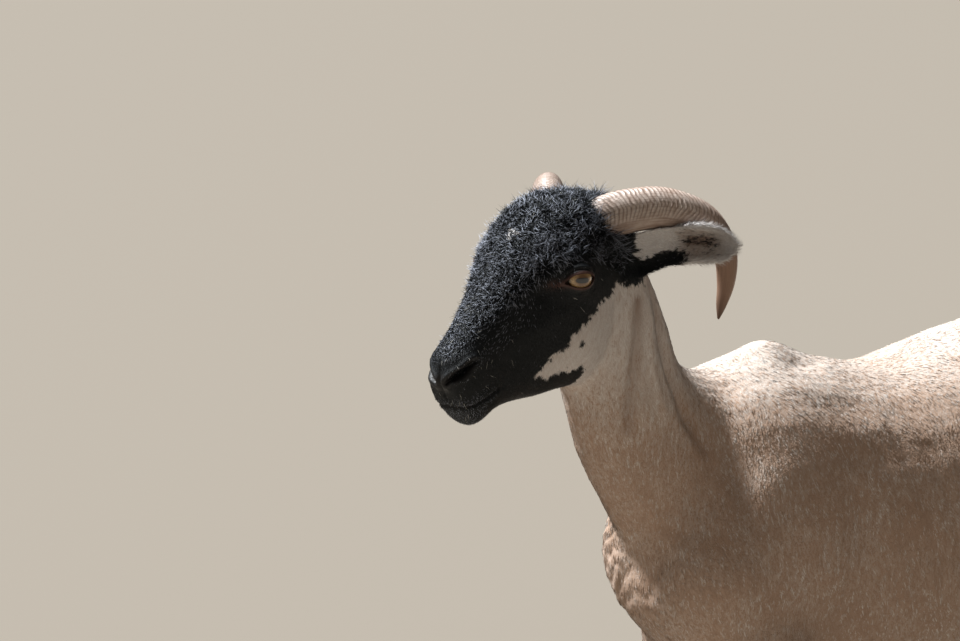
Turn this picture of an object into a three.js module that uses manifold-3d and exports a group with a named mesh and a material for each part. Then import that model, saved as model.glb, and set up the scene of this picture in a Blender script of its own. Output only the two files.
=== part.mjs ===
// A shorn, horned hill ewe with a dark head, life size, standing still with its head turned to its left.
// Millimetres, +Z up. It faces -X and its left side is -Y. The origin is under the middle of its box, on the floor.
// The flesh is lofted in rings and parted where one named region ends against the next.

import * as THREE from 'three';
import Module from 'manifold-3d';
import { LoftGeometry } from 'three/addons/geometries/LoftGeometry.js';
import { mergeVertices } from 'three/addons/utils/BufferGeometryUtils.js';

// Driving dimensions.
const WITHERS = 655;          // height of the back over the shoulders
const BACK_DIP = 632;         // height of the back behind the withers
const CROUP = 670;            // height of the back over the hips
const GIRTH_BOTTOM = 320;     // height of the breastbone between the front legs
const BELLY_HALF = 146;       // half the width of the barrel at the last ribs
const HEAD_YAW = 18;          // degrees that the head is turned to the animal's left
const EYE_LEVEL = [-443, -54.5, 757];   // the head's origin: on its middle plane, level with the eyes
const EYE_RADIUS = 14.5;      // radius of the eyeball
const EYE_CENTRE = [-1, -51, 0];      // left eyeball, in the head's own frame
const FRONT_FOOT_Y = 72;      // middle of a front foot from the middle plane
const HIND_FOOT_Y = 80;       // middle of a hind foot from the middle plane
const STAGGER = 14;           // the left front and right hind feet stand this far ahead
const CLAW_HALF_GAP = 12.4;   // middle of a claw from the middle of its foot
const MOUTH_SLOPE = 19.6;      // degrees that the mouth line falls towards the lips
const GAP = 0.3;              // clearance between neighbouring solids

const wasm = await Module();
wasm.setup();

const flank = new THREE.Vector3(0, 1, 0);

// Rows are [station, ...values]. The result gives the values at any station, smoothly.
function smooth(rows) {
  const size = rows[0].length - 1;
  const stations = rows.map((row) => row[0]);
  const values = rows.flatMap((row) => row.slice(1));
  const curve = new THREE.CubicInterpolant(stations, values, size);
  return (station) => Array.from(curve.evaluate(station));
}

// Signed power, which squares off an ellipse when the exponent is under 1.
function power(value, exponent) {
  return Math.sign(value) * Math.abs(value) ** exponent;
}

// One ring: front and back reaches along `up`, half width along `side`, and its squareness.
function ring(centre, up, side, [front, back, half, square], sides) {
  const points = [];
  for (let i = 0; i < sides; i++) {
    const turn = (i / sides) * Math.PI * 2;
    const c = power(Math.cos(turn), 2 / square);
    const s = power(Math.sin(turn), 2 / square);
    points.push(centre.clone().addScaledVector(up, c * (c > 0 ? front : back)).addScaledVector(side, s * half));
  }
  return points;
}

// Rounded swellings and hollows: each pushes nearby points away from their ring's middle, on both sides.
function swell(point, centre, mounds) {
  let push = 0;
  for (const { at, radius, height } of mounds) {
    for (const mirror of at[1] === 0 ? [1] : [1, -1]) {
      const away = point.distanceTo(new THREE.Vector3(at[0], at[1] * mirror, at[2])) / radius;
      push += height * Math.exp(-away * away);
    }
  }
  return point.addScaledVector(point.clone().sub(centre).normalize(), push);
}

// A solid lofted along a path. Rows are [station, x, y, z, front, back, half, square].
// Rings stand square to the path, or square to nothing but `side` and `level` where `level` is given.
function loft(rows, { sides, steps, startDome = 0, endDome = 0, side = flank, level = null, mounds = [], grow = 0 }) {
  const at = smooth(rows);
  const first = rows[0][0];
  const last = rows[rows.length - 1][0];
  const sections = [];
  const addRing = (station, shift, scale) => {
    const [x, y, z, front, back, half, square] = at(station);
    const ahead = at(Math.min(station + 0.01, last));
    const behind = at(Math.max(station - 0.01, first));
    const along = new THREE.Vector3(...ahead.slice(0, 3)).sub(new THREE.Vector3(...behind.slice(0, 3))).normalize();
    const up = level ?? side.clone().cross(along).normalize();
    const across = level ? side : along.clone().cross(up).normalize();
    const centre = new THREE.Vector3(x, y, z).addScaledVector(along, shift);
    const reach = [front + grow, back + grow, half + grow].map((value) => value * scale);
    const points = ring(centre, up, across, [...reach, square], sides);
    sections.push(points.map((point) => swell(point, centre, mounds)));
  };
  const domeSteps = 3;
  for (let i = domeSteps; i > 0 && startDome > 0; i--) {
    const turn = (i / (domeSteps + 0.35)) * Math.PI / 2;
    addRing(first, -(startDome + grow) * Math.sin(turn), Math.cos(turn));
  }
  for (let i = 0; i <= steps; i++) {
    addRing(first + (last - first) * i / steps, 0, 1);
  }
  for (let i = 1; i <= domeSteps && endDome > 0; i++) {
    const turn = (i / (domeSteps + 0.35)) * Math.PI / 2;
    addRing(last, (endDome + grow) * Math.sin(turn), Math.cos(turn));
  }
  return solid(new LoftGeometry(sections, { capStart: true, capEnd: true }));
}

// A closed geometry, with its shared corners merged, as a solid.
function solid(geometry) {
  const corners = new THREE.BufferGeometry();
  corners.setAttribute('position', geometry.attributes.position);
  corners.setIndex(geometry.index);
  const merged = mergeVertices(corners, 1e-4);
  const mesh = new wasm.Mesh({
    numProp: 3,
    vertProperties: new Float32Array(merged.attributes.position.array),
    triVerts: new Uint32Array(merged.index.array),
  });
  return new wasm.Manifold(mesh);
}

// A box from its two corners, as a solid.
function box(low, high) {
  const size = high.map((value, i) => value - low[i]);
  const geometry = new THREE.BoxGeometry(...size);
  geometry.translate(...low.map((value, i) => value + size[i] / 2));
  return solid(geometry);
}

function moved(piece, matrix) {
  return piece.transform(matrix.elements);
}

function mirrored(piece) {
  return piece.mirror([0, 1, 0]);
}

// ---------------------------------------------------------------- trunk

// station = x; then x, y, z, front (down), back (up), half, square
function trunkRow(x, top, bottom, middle, half, square) {
  return [x, x, 0, middle, middle - bottom, top - middle, half, square];
}

const trunkRows = [
  trunkRow(-282, 548, 392, 462, 76, 2.3),
  trunkRow(-262, 592, 366, 466, 93, 2.2),
  trunkRow(-235, 634, 345, 472, 103, 2.1),
  trunkRow(-195, 650, 328, 480, 110, 1.95),
  trunkRow(-150, WITHERS, GIRTH_BOTTOM, 480, 116, 1.9),
  trunkRow(-95, 644, 316, 475, 123, 1.95),
  trunkRow(-41, BACK_DIP, 312, 470, 132, 2.05),
  trunkRow(20, 643, 306, 468, 141, 2.15),
  trunkRow(75, 657, 306, 470, BELLY_HALF, 2.2),
  trunkRow(150, 667, 326, 480, 141, 2.25),
  trunkRow(225, CROUP, 368, 512, 122, 2.25),
  trunkRow(290, 661, 412, 540, 103, 2.2),
  trunkRow(335, 636, 452, 552, 80, 2.1),
];
const trunkMounds = [
  { at: [-262, -88, 432], radius: 48, height: 9 },
  { at: [-205, -112, 545], radius: 70, height: 4 },
  { at: [-200, -96, 372], radius: 45, height: 8 },
  { at: [-120, -112, 400], radius: 45, height: -5 },
  { at: [190, -108, 630], radius: 30, height: 8 },
  { at: [140, -128, 560], radius: 45, height: -8 },
  { at: [352, -42, 560], radius: 30, height: 9 },
];
const down = new THREE.Vector3(0, 0, -1);
const trunkShape = { sides: 22, steps: 19, startDome: 20, endDome: 38, level: down, mounds: trunkMounds };
const trunkLoft = loft(trunkRows, trunkShape);
const trunkGrown = loft(trunkRows, { ...trunkShape, grow: GAP });

// ---------------------------------------------------------------- head, in its own frame

const headPlace = new THREE.Matrix4().makeRotationZ(THREE.MathUtils.degToRad(HEAD_YAW));
headPlace.setPosition(...EYE_LEVEL);

// The head's long axis starts behind the poll and runs down to the lips.
const HEAD_AXIS_START = [70, 20];
const HEAD_PITCH = THREE.MathUtils.degToRad(31.5);

// station = distance along the axis; top and bottom are reaches square to it
function headRow(along, top, bottom, middle, half, square) {
  const x = HEAD_AXIS_START[0] - along * Math.cos(HEAD_PITCH) - middle * Math.sin(HEAD_PITCH);
  const z = HEAD_AXIS_START[1] - along * Math.sin(HEAD_PITCH) + middle * Math.cos(HEAD_PITCH);
  return [along, x, 0, z, top - middle, middle - bottom, half, square];
}

const headRows = [
  headRow(-18, 48, -62, 0, 46, 2.1),
  headRow(4, 66, -84, 0, 51, 2.2),
  headRow(36, 79, -101, 0, 55, 2.3),
  headRow(68, 76, -103, 0, 56, 2.3),
  headRow(97, 65.5, -98, 0, 50, 2.25),
  headRow(126, 54, -82, -2, 41, 2.15),
  headRow(152, 46, -64, -2, 33.5, 2.1),
  headRow(174, 40.5, -52, -1, 29, 2.15),
  headRow(192, 36, -46, 0, 26.5, 2.3),
  headRow(206, 30.5, -43, -1, 24.5, 2.4),
  headRow(217, 18, -37, -2, 20, 2.4),
];
const headMounds = [
  { at: [-2, -56, 6], radius: 25, height: 7 },
  { at: [-40, -44, -14], radius: 20, height: -4 },
  { at: [2, -52, -62], radius: 30, height: 3 },
  { at: [-92, 0, -124], radius: 21, height: 9 },
];
const headShape = { sides: 24, steps: 17, startDome: 24, endDome: 5, mounds: headMounds };
const headLoft = moved(loft(headRows, headShape), headPlace);
const headGrown = moved(loft(headRows, { ...headShape, grow: GAP }), headPlace);

// ---------------------------------------------------------------- neck

// station; x, y, z; reach to the nape, reach to the throat, half, square
const neckRows = [
  [0, -200, 0, 500, 112, 108, 88, 2.1],
  [1, -248, -2, 548, 102, 92, 72, 2.05],
  [2, -296, -11, 588, 80, 73, 57, 2.0],
  [3, -324, -24, 632, 61, 64, 50, 2.0],
  [4, -342, -34, 678, 57, 64, 47, 2.05],
  [5, -357, -42, 716, 53, 61, 45, 2.1],
  [6, -372, -47, 752, 48, 52, 41, 2.1],
];
const neckShape = { sides: 18, steps: 10, startDome: 10, endDome: 10 };
const neckLoft = loft(neckRows, neckShape);
const neckGrown = loft(neckRows, { ...neckShape, grow: GAP });

// ---------------------------------------------------------------- eyes, horns and ears, in the head's frame

function ball(centre, radius) {
  const geometry = new THREE.SphereGeometry(radius, 12, 8);
  geometry.rotateX(Math.PI / 2);
  geometry.translate(...centre);
  return solid(geometry);
}

const hornRows = [
  [0, 40, -26, 34, 19, 19, 15, 2.0],
  [1, 62, -35, 49, 20, 20, 15.5, 2.1],
  [2, 92, -61, 55.5, 20, 20, 15, 2.1],
  [3, 113, -80, 52.5, 18.5, 18.5, 14, 2.1],
  [4, 130, -94, 43, 16.5, 16.5, 12.5, 2.1],
  [5, 142, -103, 27, 14, 14, 11, 2.1],
  [6, 148, -108, 7, 11, 11, 9.5, 2.0],
  [7, 145, -110.5, -15, 8.5, 8.5, 7.5, 2.0],
  [8, 137, -112, -34, 5, 5, 4.5, 2.0],
  [9, 131, -113.5, -46, 1.2, 1.2, 1.1, 2.0],
];
const hornShape = { sides: 10, steps: 15, side: new THREE.Vector3(-0.55, -0.83, 0.1).normalize() };
const hornLoft = loft(hornRows, hornShape);

// An ear is a cupped leaf: rings of an outer and an inner arc that meet at its two edges.
const EAR_ROOT = new THREE.Vector3(66, -46, 4);
const EAR_TIP = new THREE.Vector3(138, -131, 22);
const EAR_FACING = new THREE.Vector3(-0.743, -0.669, -0.15).normalize();
const earWidth = smooth([
  [0, 21, 15, 13],
  [0.2, 21, 14, 9],
  [0.45, 20, 11, 5.5],
  [0.7, 20, 9, 4.5],
  [0.88, 14, 6, 3.5],
  [1, 3, 1.5, 1.5],
]);

function ear() {
  const along = EAR_TIP.clone().sub(EAR_ROOT);
  const edge = EAR_FACING.clone().cross(along).normalize();
  const facing = along.clone().cross(edge).normalize();
  const sections = [];
  const half = 5;
  for (let i = 0; i <= 9; i++) {
    const t = i / 9;
    const [width, depth, thick] = earWidth(t);
    const middle = EAR_ROOT.clone().addScaledVector(along, t);
    middle.z += 10 * Math.sin(Math.PI * t);
    const points = [];
    for (let j = 0; j <= half; j++) {
      const a = (j / half) * Math.PI;
      points.push([Math.cos(a) * width, -Math.sin(a) * depth - thick * 0.5 * Math.sin(a)]);
    }
    for (let j = 1; j < half; j++) {
      const a = Math.PI - (j / half) * Math.PI;
      points.push([Math.cos(a) * width * 0.96, -Math.sin(a) * depth + thick * 0.5 * Math.sin(a)]);
    }
    points.reverse();
    sections.push(points.map(([e, f]) => middle.clone().addScaledVector(edge, e).addScaledVector(facing, f)));
  }
  return solid(new LoftGeometry(sections, { capStart: true, capEnd: true }));
}

const earLeft = ear();

// ---------------------------------------------------------------- legs

// station; x, y, z; front, back, half, square. The path runs down the leg, so `front` reaches forwards.
const frontLegRows = [
  [0, -196, -70, 410, 45, 46, 32, 2],
  [1, -201, -74, 352, 44, 48, 32, 2],
  [2, -209, -75, 292, 31, 33, 26, 2],
  [3, -215, -74, 236, 23, 24, 21, 2],
  [4, -217, -73.5, 207, 24, 22, 22, 2.2],
  [5, -214, -73, 180, 17, 18, 17.5, 2.1],
  [6, -213, -72.5, 138, 14.5, 16.5, 14, 2],
  [7, -213, -72, 100, 16.5, 18, 16, 2],
  [8, -216, -72, 80, 19, 20, 19, 2.1],
  [9, -228, -72, 57, 16.5, 17.5, 17, 2.1],
  [10, -240, -72, 38, 18.5, 18.5, 21, 2.2],
  [11, -244, -72, 31, 17, 17, 20, 2.2],
];
const hindLegRows = [
  [0, 238, -62, 575, 70, 62, 40, 2.1],
  [1, 232, -76, 510, 92, 82, 50, 2.1],
  [2, 224, -86, 445, 96, 84, 50, 2.1],
  [3, 222, -88, 382, 74, 70, 43, 2.05],
  [4, 252, -86, 322, 44, 44, 30, 2],
  [5, 292, -83, 272, 28, 30, 21, 2],
  [6, 320, -81, 240, 25, 29, 20.5, 2.1],
  [7, 321, -80, 205, 18, 20, 17, 2.1],
  [8, 315, -80, 150, 15.5, 17, 14.5, 2],
  [9, 309, -80, 103, 17.5, 18.5, 16.5, 2],
  [10, 305, -80, 84, 20, 20, 19, 2.1],
  [11, 292, -80, 59, 17, 18, 17, 2.1],
  [12, 280, -80, 39, 18.5, 18.5, 21, 2.2],
  [13, 276, -80, 32, 17, 17, 20, 2.2],
];
const legShape = { sides: 10, steps: 18, startDome: 12 };
const KNEE_CUT = 212;
const HOCK_CUT = 246;

// A leg's rows moved ahead by `step` at the foot, less and less up to the top.
function stepped(rows, step) {
  const top = rows[0][3];
  return rows.map(([station, x, y, z, ...rest]) => [station, x - step * (1 - z / top), y, z, ...rest]);
}

// ---------------------------------------------------------------- claws

// station; x ahead of the foot's middle; z; front, back, half width
const clawRows = [
  [0, 1, 0, 41, 18, 19, 9, 2.2],
  [1, -3, 0, 27, 21, 20, 10.5, 2.2],
  [2, -7, 0, 12, 25, 23, 11.6, 2.3],
  [3, -9, 0, 0, 28, 24, 11.6, 2.3],
];

const ahead = new THREE.Vector3(-1, 0, 0);

function clawAt(x, y) {
  const rows = clawRows.map(([station, dx, dy, ...rest]) => [station, x + dx, y + dy, ...rest]);
  return loft(rows, { sides: 10, steps: 2, level: ahead });
}

function dewclawAt(x, y) {
  const rows = [
    [0, x, y, 70, 6, 6, 6, 2],
    [1, x + 7, y, 60, 6, 6, 6, 2],
    [2, x + 11, y, 49, 3, 3, 3.5, 2],
  ];
  return loft(rows, { sides: 6, steps: 2 });
}

// ---------------------------------------------------------------- tail

const tailRows = [
  [0, 335, 0, 606, 14, 14, 20, 2],
  [1, 366, 0, 600, 14, 14, 19, 2],
  [2, 385, 0, 572, 12, 12, 17, 2],
  [3, 389, 0, 520, 10, 10, 14, 2],
  [4, 385, 0, 455, 8, 8, 11, 2],
  [5, 381, 0, 405, 5, 5, 7, 2],
];
const tailLoft = loft(tailRows, { sides: 10, steps: 9, startDome: 5, endDome: 5 });

// ---------------------------------------------------------------- parting into named nodes

const parts = {};
const eyeLeft = ball(EYE_CENTRE, EYE_RADIUS);
const socketLeft = ball(EYE_CENTRE, EYE_RADIUS + GAP);
const sockets = moved(socketLeft.add(mirrored(socketLeft)), headPlace);

// The mouth line runs back from the lips, then the cut turns down behind the angle of the jaw.
const jawPlace = new THREE.Matrix4().makeRotationY(THREE.MathUtils.degToRad(-MOUTH_SLOPE));
jawPlace.setPosition(-20, 0, -76.5);
const jawRegion = moved(moved(box([-190, -90, -80], [0, 90, 0]), jawPlace), headPlace);
const jawGrown = moved(moved(box([-190, -90, -80], [GAP, 90, GAP]), jawPlace), headPlace);

const skull = headLoft.subtract(sockets);
parts.head = skull.subtract(jawGrown);
parts.lower_jaw = skull.intersect(jawRegion);

const hornGrown = loft(hornRows, { ...hornShape, grow: GAP });
for (const [name, flip] of [['left', (piece) => piece], ['right', mirrored]]) {
  parts[`eye_${name}`] = moved(flip(eyeLeft), headPlace);
  parts[`horn_${name}`] = moved(flip(hornLoft), headPlace).subtract(headGrown);
  const earHere = moved(flip(earLeft.subtract(hornGrown)), headPlace);
  parts[`ear_${name}`] = earHere.subtract(headGrown).subtract(neckGrown);
}

const legs = {};
const grownLegs = [];
for (const [name, y, step] of [['left', -1, STAGGER], ['right', 1, -STAGGER]]) {
  const flip = y < 0 ? (piece) => piece : mirrored;
  const front = stepped(frontLegRows, step);
  const hind = stepped(hindLegRows, -step);
  const hindGrown = flip(loft(hind, { ...legShape, grow: GAP }));
  grownLegs.push(hindGrown);
  legs[`front_${name}`] = flip(loft(front, legShape)).subtract(trunkGrown);
  legs[`hind_${name}`] = flip(loft(hind, legShape));
  const feet = [['front', front, FRONT_FOOT_Y], ['hind', hind, HIND_FOOT_Y]];
  for (const [place, rows, footY] of feet) {
    const grown = flip(loft(rows, { ...legShape, grow: GAP }));
    const coronet = rows[rows.length - 1];
    for (const [which, offset] of [['inner', 1], ['outer', -1]]) {
      const clawY = -footY + offset * CLAW_HALF_GAP;
      const claw = flip(clawAt(coronet[1] + 1, clawY));
      parts[`claw_${place}_${name}_${which}`] = claw.subtract(grown);
      const dewclaw = flip(dewclawAt(coronet[1] + 31, -footY + offset * 11));
      parts[`dewclaw_${place}_${name}_${which}`] = dewclaw.subtract(grown);
    }
  }
}
let trunk = trunkLoft;
for (const grown of grownLegs) {
  trunk = trunk.subtract(grown);
}
parts.trunk = trunk;
parts.neck = neckLoft.subtract(trunkGrown).subtract(headGrown);
parts.tail = tailLoft.subtract(trunkGrown);

for (const [name, leg] of Object.entries(legs)) {
  const cut = name.startsWith('front') ? KNEE_CUT : HOCK_CUT;
  const upper = name.startsWith('front') ? 'forearm' : 'thigh';
  parts[`${upper}_${name}`] = leg.intersect(box([-500, -300, cut + GAP], [500, 300, 900]));
  parts[`shank_${name}`] = leg.intersect(box([-500, -300, 0], [500, 300, cut]));
}

// ---------------------------------------------------------------- the model

const materials = {
  wool: new THREE.MeshStandardMaterial({ color: 0xcfc0ac, roughness: 0.95, metalness: 0 }),
  face: new THREE.MeshStandardMaterial({ color: 0x17171a, roughness: 0.85, metalness: 0 }),
  horn: new THREE.MeshStandardMaterial({ color: 0xb89f86, roughness: 0.6, metalness: 0 }),
  claw: new THREE.MeshStandardMaterial({ color: 0x2c2622, roughness: 0.6, metalness: 0 }),
  eye: new THREE.MeshStandardMaterial({ color: 0xb08a3c, roughness: 0.1, metalness: 0 }),
};

function materialFor(name) {
  if (/^(head|lower_jaw|ear)/.test(name)) return materials.face;
  if (/^horn/.test(name)) return materials.horn;
  if (/claw/.test(name)) return materials.claw;
  if (/^eye/.test(name)) return materials.eye;
  return materials.wool;
}

const model = new THREE.Group();
for (const [name, piece] of Object.entries(parts)) {
  const { vertProperties, triVerts } = piece.getMesh();
  const geometry = new THREE.BufferGeometry();
  geometry.setAttribute('position', new THREE.BufferAttribute(vertProperties, 3));
  geometry.setIndex(new THREE.BufferAttribute(triVerts, 1));
  const mesh = new THREE.Mesh(geometry, materialFor(name));
  mesh.name = name;
  model.add(mesh);
}

const bounds = new THREE.Box3().setFromObject(model);
const middle = bounds.getCenter(new THREE.Vector3());
for (const mesh of model.children) {
  mesh.geometry.translate(-middle.x, -middle.y, -bounds.min.z);
}

export default model;
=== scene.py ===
# A shorn, horned hill ewe with a dark head, life size, standing still with its head turned to its left.
# Metres, +Z up. It faces -X and its left side is -Y.
import math
import bmesh
import bpy
import numpy as np
from mathutils import Matrix, Vector
from mathutils.bvhtree import BVHTree
from mathutils.kdtree import KDTree


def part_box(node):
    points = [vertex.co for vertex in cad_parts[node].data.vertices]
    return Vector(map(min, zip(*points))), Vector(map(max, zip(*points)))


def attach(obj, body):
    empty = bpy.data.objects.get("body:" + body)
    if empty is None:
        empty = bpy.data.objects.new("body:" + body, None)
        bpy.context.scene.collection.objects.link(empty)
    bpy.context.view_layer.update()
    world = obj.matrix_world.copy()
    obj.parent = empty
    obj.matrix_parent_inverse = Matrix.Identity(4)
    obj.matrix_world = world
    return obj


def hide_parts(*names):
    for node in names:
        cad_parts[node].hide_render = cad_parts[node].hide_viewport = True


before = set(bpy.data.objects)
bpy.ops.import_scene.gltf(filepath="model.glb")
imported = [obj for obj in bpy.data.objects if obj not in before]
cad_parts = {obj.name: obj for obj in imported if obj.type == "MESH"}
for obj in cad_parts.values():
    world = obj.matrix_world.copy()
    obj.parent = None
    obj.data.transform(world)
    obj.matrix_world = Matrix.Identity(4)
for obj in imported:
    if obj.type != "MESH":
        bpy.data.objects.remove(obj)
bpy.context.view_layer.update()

# ---------------------------------------------------------------- skin
# The ewe's hide, one closed surface over the head, neck, trunk, legs, ears and tail.
# The fleshy solids are joined, meshed again finely at the head and more coarsely behind it, and smoothed.
# Lids, nostrils, mouth and folds are then modelled in it, and it is drawn in by the depth of the coat.

HARD_PARTS = ("eye_", "horn_", "claw_", "dewclaw_")
HEAD_YAW = math.radians(18)        # the head is turned this far to the animal's left
FINE_REACH = 0.2                   # fine meshing reaches this far from the middle of the head
FINE_GAIN = 2.8                    # the head is meshed this much more finely
COARSE_GAIN = 0.75                 # and distance beyond it counts for less
SKIN_CELL = 0.0065
OVERLAP = 0.0005                   # the solids are swelled by this to close the cuts between them
EAR_SWELL = 0.0017                 # the thin ears are swelled more, so that their rims keep their line

eye_boxes = [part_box("eye_left"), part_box("eye_right")]
eye_middles = [np.array((low + high) / 2) for low, high in eye_boxes]
head_turn = np.array(Matrix.Rotation(HEAD_YAW, 3, "Z"))
HEAD_AT = (eye_middles[0] + eye_middles[1]) / 2 + head_turn @ np.array((0.001, 0, 0))
FINE_MIDDLE = HEAD_AT + head_turn @ np.array((0.005, 0, -0.02))


def to_head(points):
    """Places in the head's own frame: x backwards, y to its right, z up, from between the eyes."""
    return (np.asarray(points) - HEAD_AT) @ head_turn


def from_head(points):
    return np.asarray(points) @ head_turn.T + HEAD_AT


def solid_corners(node):
    """A solid's corners, each once, and its triangles."""
    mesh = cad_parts[node].data
    mesh.calc_loop_triangles()
    places = np.empty(len(mesh.vertices) * 3)
    mesh.vertices.foreach_get("co", places)
    faces = np.empty(len(mesh.loop_triangles) * 3, int)
    mesh.loop_triangles.foreach_get("vertices", faces)
    places = places.reshape(-1, 3)
    key = np.round(places * 1e6).astype(np.int64)
    _, first, back = np.unique(key, axis=0, return_index=True, return_inverse=True)
    return places[first], back.reshape(-1)[faces].reshape(-1, 3)


def outward(places, faces):
    """The outward direction at each corner of a mesh of triangles or of four-sided faces."""
    a = places[faces[:, 0]]
    if faces.shape[1] == 3:
        across = np.cross(places[faces[:, 1]] - a, places[faces[:, 2]] - a)
    else:
        across = np.cross(places[faces[:, 2]] - a, places[faces[:, 3]] - places[faces[:, 1]])
    total = np.zeros_like(places)
    for k in range(faces.shape[1]):
        for axis in range(3):
            total[:, axis] += np.bincount(faces[:, k], across[:, axis], len(places))
    return total / np.maximum(np.linalg.norm(total, axis=1, keepdims=True), 1e-12)


def split_faces(places, faces):
    """Each triangle becomes four."""
    sides = np.sort(np.concatenate([faces[:, [0, 1]], faces[:, [1, 2]], faces[:, [2, 0]]]), axis=1)
    unique, back = np.unique(sides, axis=0, return_inverse=True)
    middle = places[unique].mean(1)
    ab, bc, ca = (back.reshape(3, -1) + len(places))
    a, b, c = faces.T
    quarters = [(a, ab, ca), (ab, b, bc), (ca, bc, c), (ab, bc, ca)]
    return np.concatenate([places, middle]), np.concatenate([np.stack(q, 1) for q in quarters])


def graded(points, back=False):
    """Draws the body in towards the head, which so takes more of an even mesh; or puts it back."""
    near = np.array((0, FINE_REACH, 1.6))
    far = np.array((0, FINE_REACH * FINE_GAIN, FINE_REACH * FINE_GAIN + (1.6 - FINE_REACH) * COARSE_GAIN))
    if back:
        near, far = far, near
    away = points - FINE_MIDDLE
    length = np.linalg.norm(away, axis=1)
    return FINE_MIDDLE + away * (np.interp(length, near, far) / np.maximum(length, 1e-9))[:, None]


def new_mesh(name, places, faces):
    mesh = bpy.data.meshes.new(name)
    mesh.from_pydata(places.tolist(), [], faces.tolist() if hasattr(faces, "tolist") else faces)
    made = bpy.data.objects.new(name, mesh)
    bpy.context.scene.collection.objects.link(made)
    return made


def finished(piece):
    """The piece with its modifiers carried out and removed, as a plain mesh."""
    graph = bpy.context.evaluated_depsgraph_get()
    mesh = bpy.data.meshes.new_from_object(piece.evaluated_get(graph))
    piece.modifiers.clear()
    old = piece.data
    piece.data = mesh
    bpy.data.meshes.remove(old)
    return piece


def mesh_arrays(mesh, sides):
    places = np.empty(len(mesh.vertices) * 3)
    mesh.vertices.foreach_get("co", places)
    faces = np.empty(len(mesh.loops), int)
    mesh.loops.foreach_get("vertex_index", faces)
    return places.reshape(-1, 3), faces.reshape(-1, sides)


flesh = sorted(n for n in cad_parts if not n.startswith(HARD_PARTS))
all_places, all_faces, all_labels, count = [], [], [], 0
for node in flesh + ["eye_left", "eye_right"]:
    places, faces = solid_corners(node)
    places = places + outward(places, faces) * (EAR_SWELL if node.startswith("ear") else OVERLAP)
    for _ in range(2):
        places, faces = split_faces(places, faces)
    all_places.append(places)
    all_faces.append(faces + count)
    all_labels += [node] * len(places)
    count += len(places)
flesh_places = np.concatenate(all_places)
skin = new_mesh("skin", graded(flesh_places), np.concatenate(all_faces))
remesh = skin.modifiers.new("remesh", "REMESH")
remesh.mode = "VOXEL"
remesh.voxel_size = SKIN_CELL
finished(skin)
skin_places, skin_faces = mesh_arrays(skin.data, 4)
skin_places = graded(skin_places, back=True)


def edges_of(faces):
    """Each pair of neighbouring corners, once."""
    ring = [faces[:, [k, (k + 1) % faces.shape[1]]] for k in range(faces.shape[1])]
    return np.unique(np.sort(np.concatenate(ring), axis=1), axis=0)


def spread_values(values, edges, rounds, share=0.5, weight=None):
    """Each corner's value drawn towards the mean of its neighbours', so many times over."""
    values = np.array(values, float)
    table = values.reshape(len(values), -1)
    a, b = edges.T
    near = np.bincount(a, minlength=len(table)) + np.bincount(b, minlength=len(table))
    pull = share if weight is None else share * weight[:, None]
    for _ in range(rounds):
        total = np.stack([
            np.bincount(a, table[b, k], len(table)) + np.bincount(b, table[a, k], len(table))
            for k in range(table.shape[1])], 1)
        table = table + (total / near[:, None] - table) * pull
    return table.reshape(values.shape)


# How far each solid's facets are smoothed: thin ears and slim legs less, so that they keep their thickness.
SMOOTHING = {"trunk": 1.0, "neck": 0.8, "head": 0.75, "lower_jaw": 0.6, "tail": 0.25, "eye": 0.5,
             "ear": 0.5, "forearm": 0.5, "thigh": 0.6, "shank": 0.25}
SMOOTHING_ROUNDS = 26

kinds = sorted(SMOOTHING)
kind_of = [next(k for k in kinds if label.startswith(k)) for label in all_labels]
tree = KDTree(len(flesh_places))
for index, place in enumerate(flesh_places):
    tree.insert(place, index)
tree.balance()
nearest = [tree.find(place)[1] for place in skin_places]
belongs = np.array([kinds.index(kind_of[index]) for index in nearest])
skin_edges = edges_of(skin_faces)
share_of = spread_values(np.eye(len(kinds))[belongs], skin_edges, 5)
softness = share_of @ np.array([SMOOTHING[k] for k in kinds])
skin_places = spread_values(skin_places, skin_edges, SMOOTHING_ROUNDS, weight=softness)


def bump(points, middle, radius, height):
    """How far a rounded swelling, or a hollow where the height is below nought, lifts each point."""
    away = np.linalg.norm((points - np.array(middle)) / np.array(radius), axis=1)
    return height * np.exp(-away ** 2)


def to_line(points, line):
    """Distance from each point to a bent line, and how far along it from 0 to 1."""
    line = np.array(line, float)
    best = np.full(len(points), np.inf)
    along = np.zeros(len(points))
    for k in range(len(line) - 1):
        a, step = line[k], line[k + 1] - line[k]
        t = np.clip((points - a) @ step / (step @ step), 0, 1)
        away = np.linalg.norm(points - a - t[:, None] * step, axis=1)
        nearer = away < best
        best[nearer] = away[nearer]
        along[nearer] = (k + t[nearer]) / (len(line) - 1)
    return best, along


def ramp(values, low, high):
    """A smooth step from 0 to 1, between low and high."""
    t = np.clip((values - low) / (high - low), 0, 1)
    return t * t * (3 - 2 * t)


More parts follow.
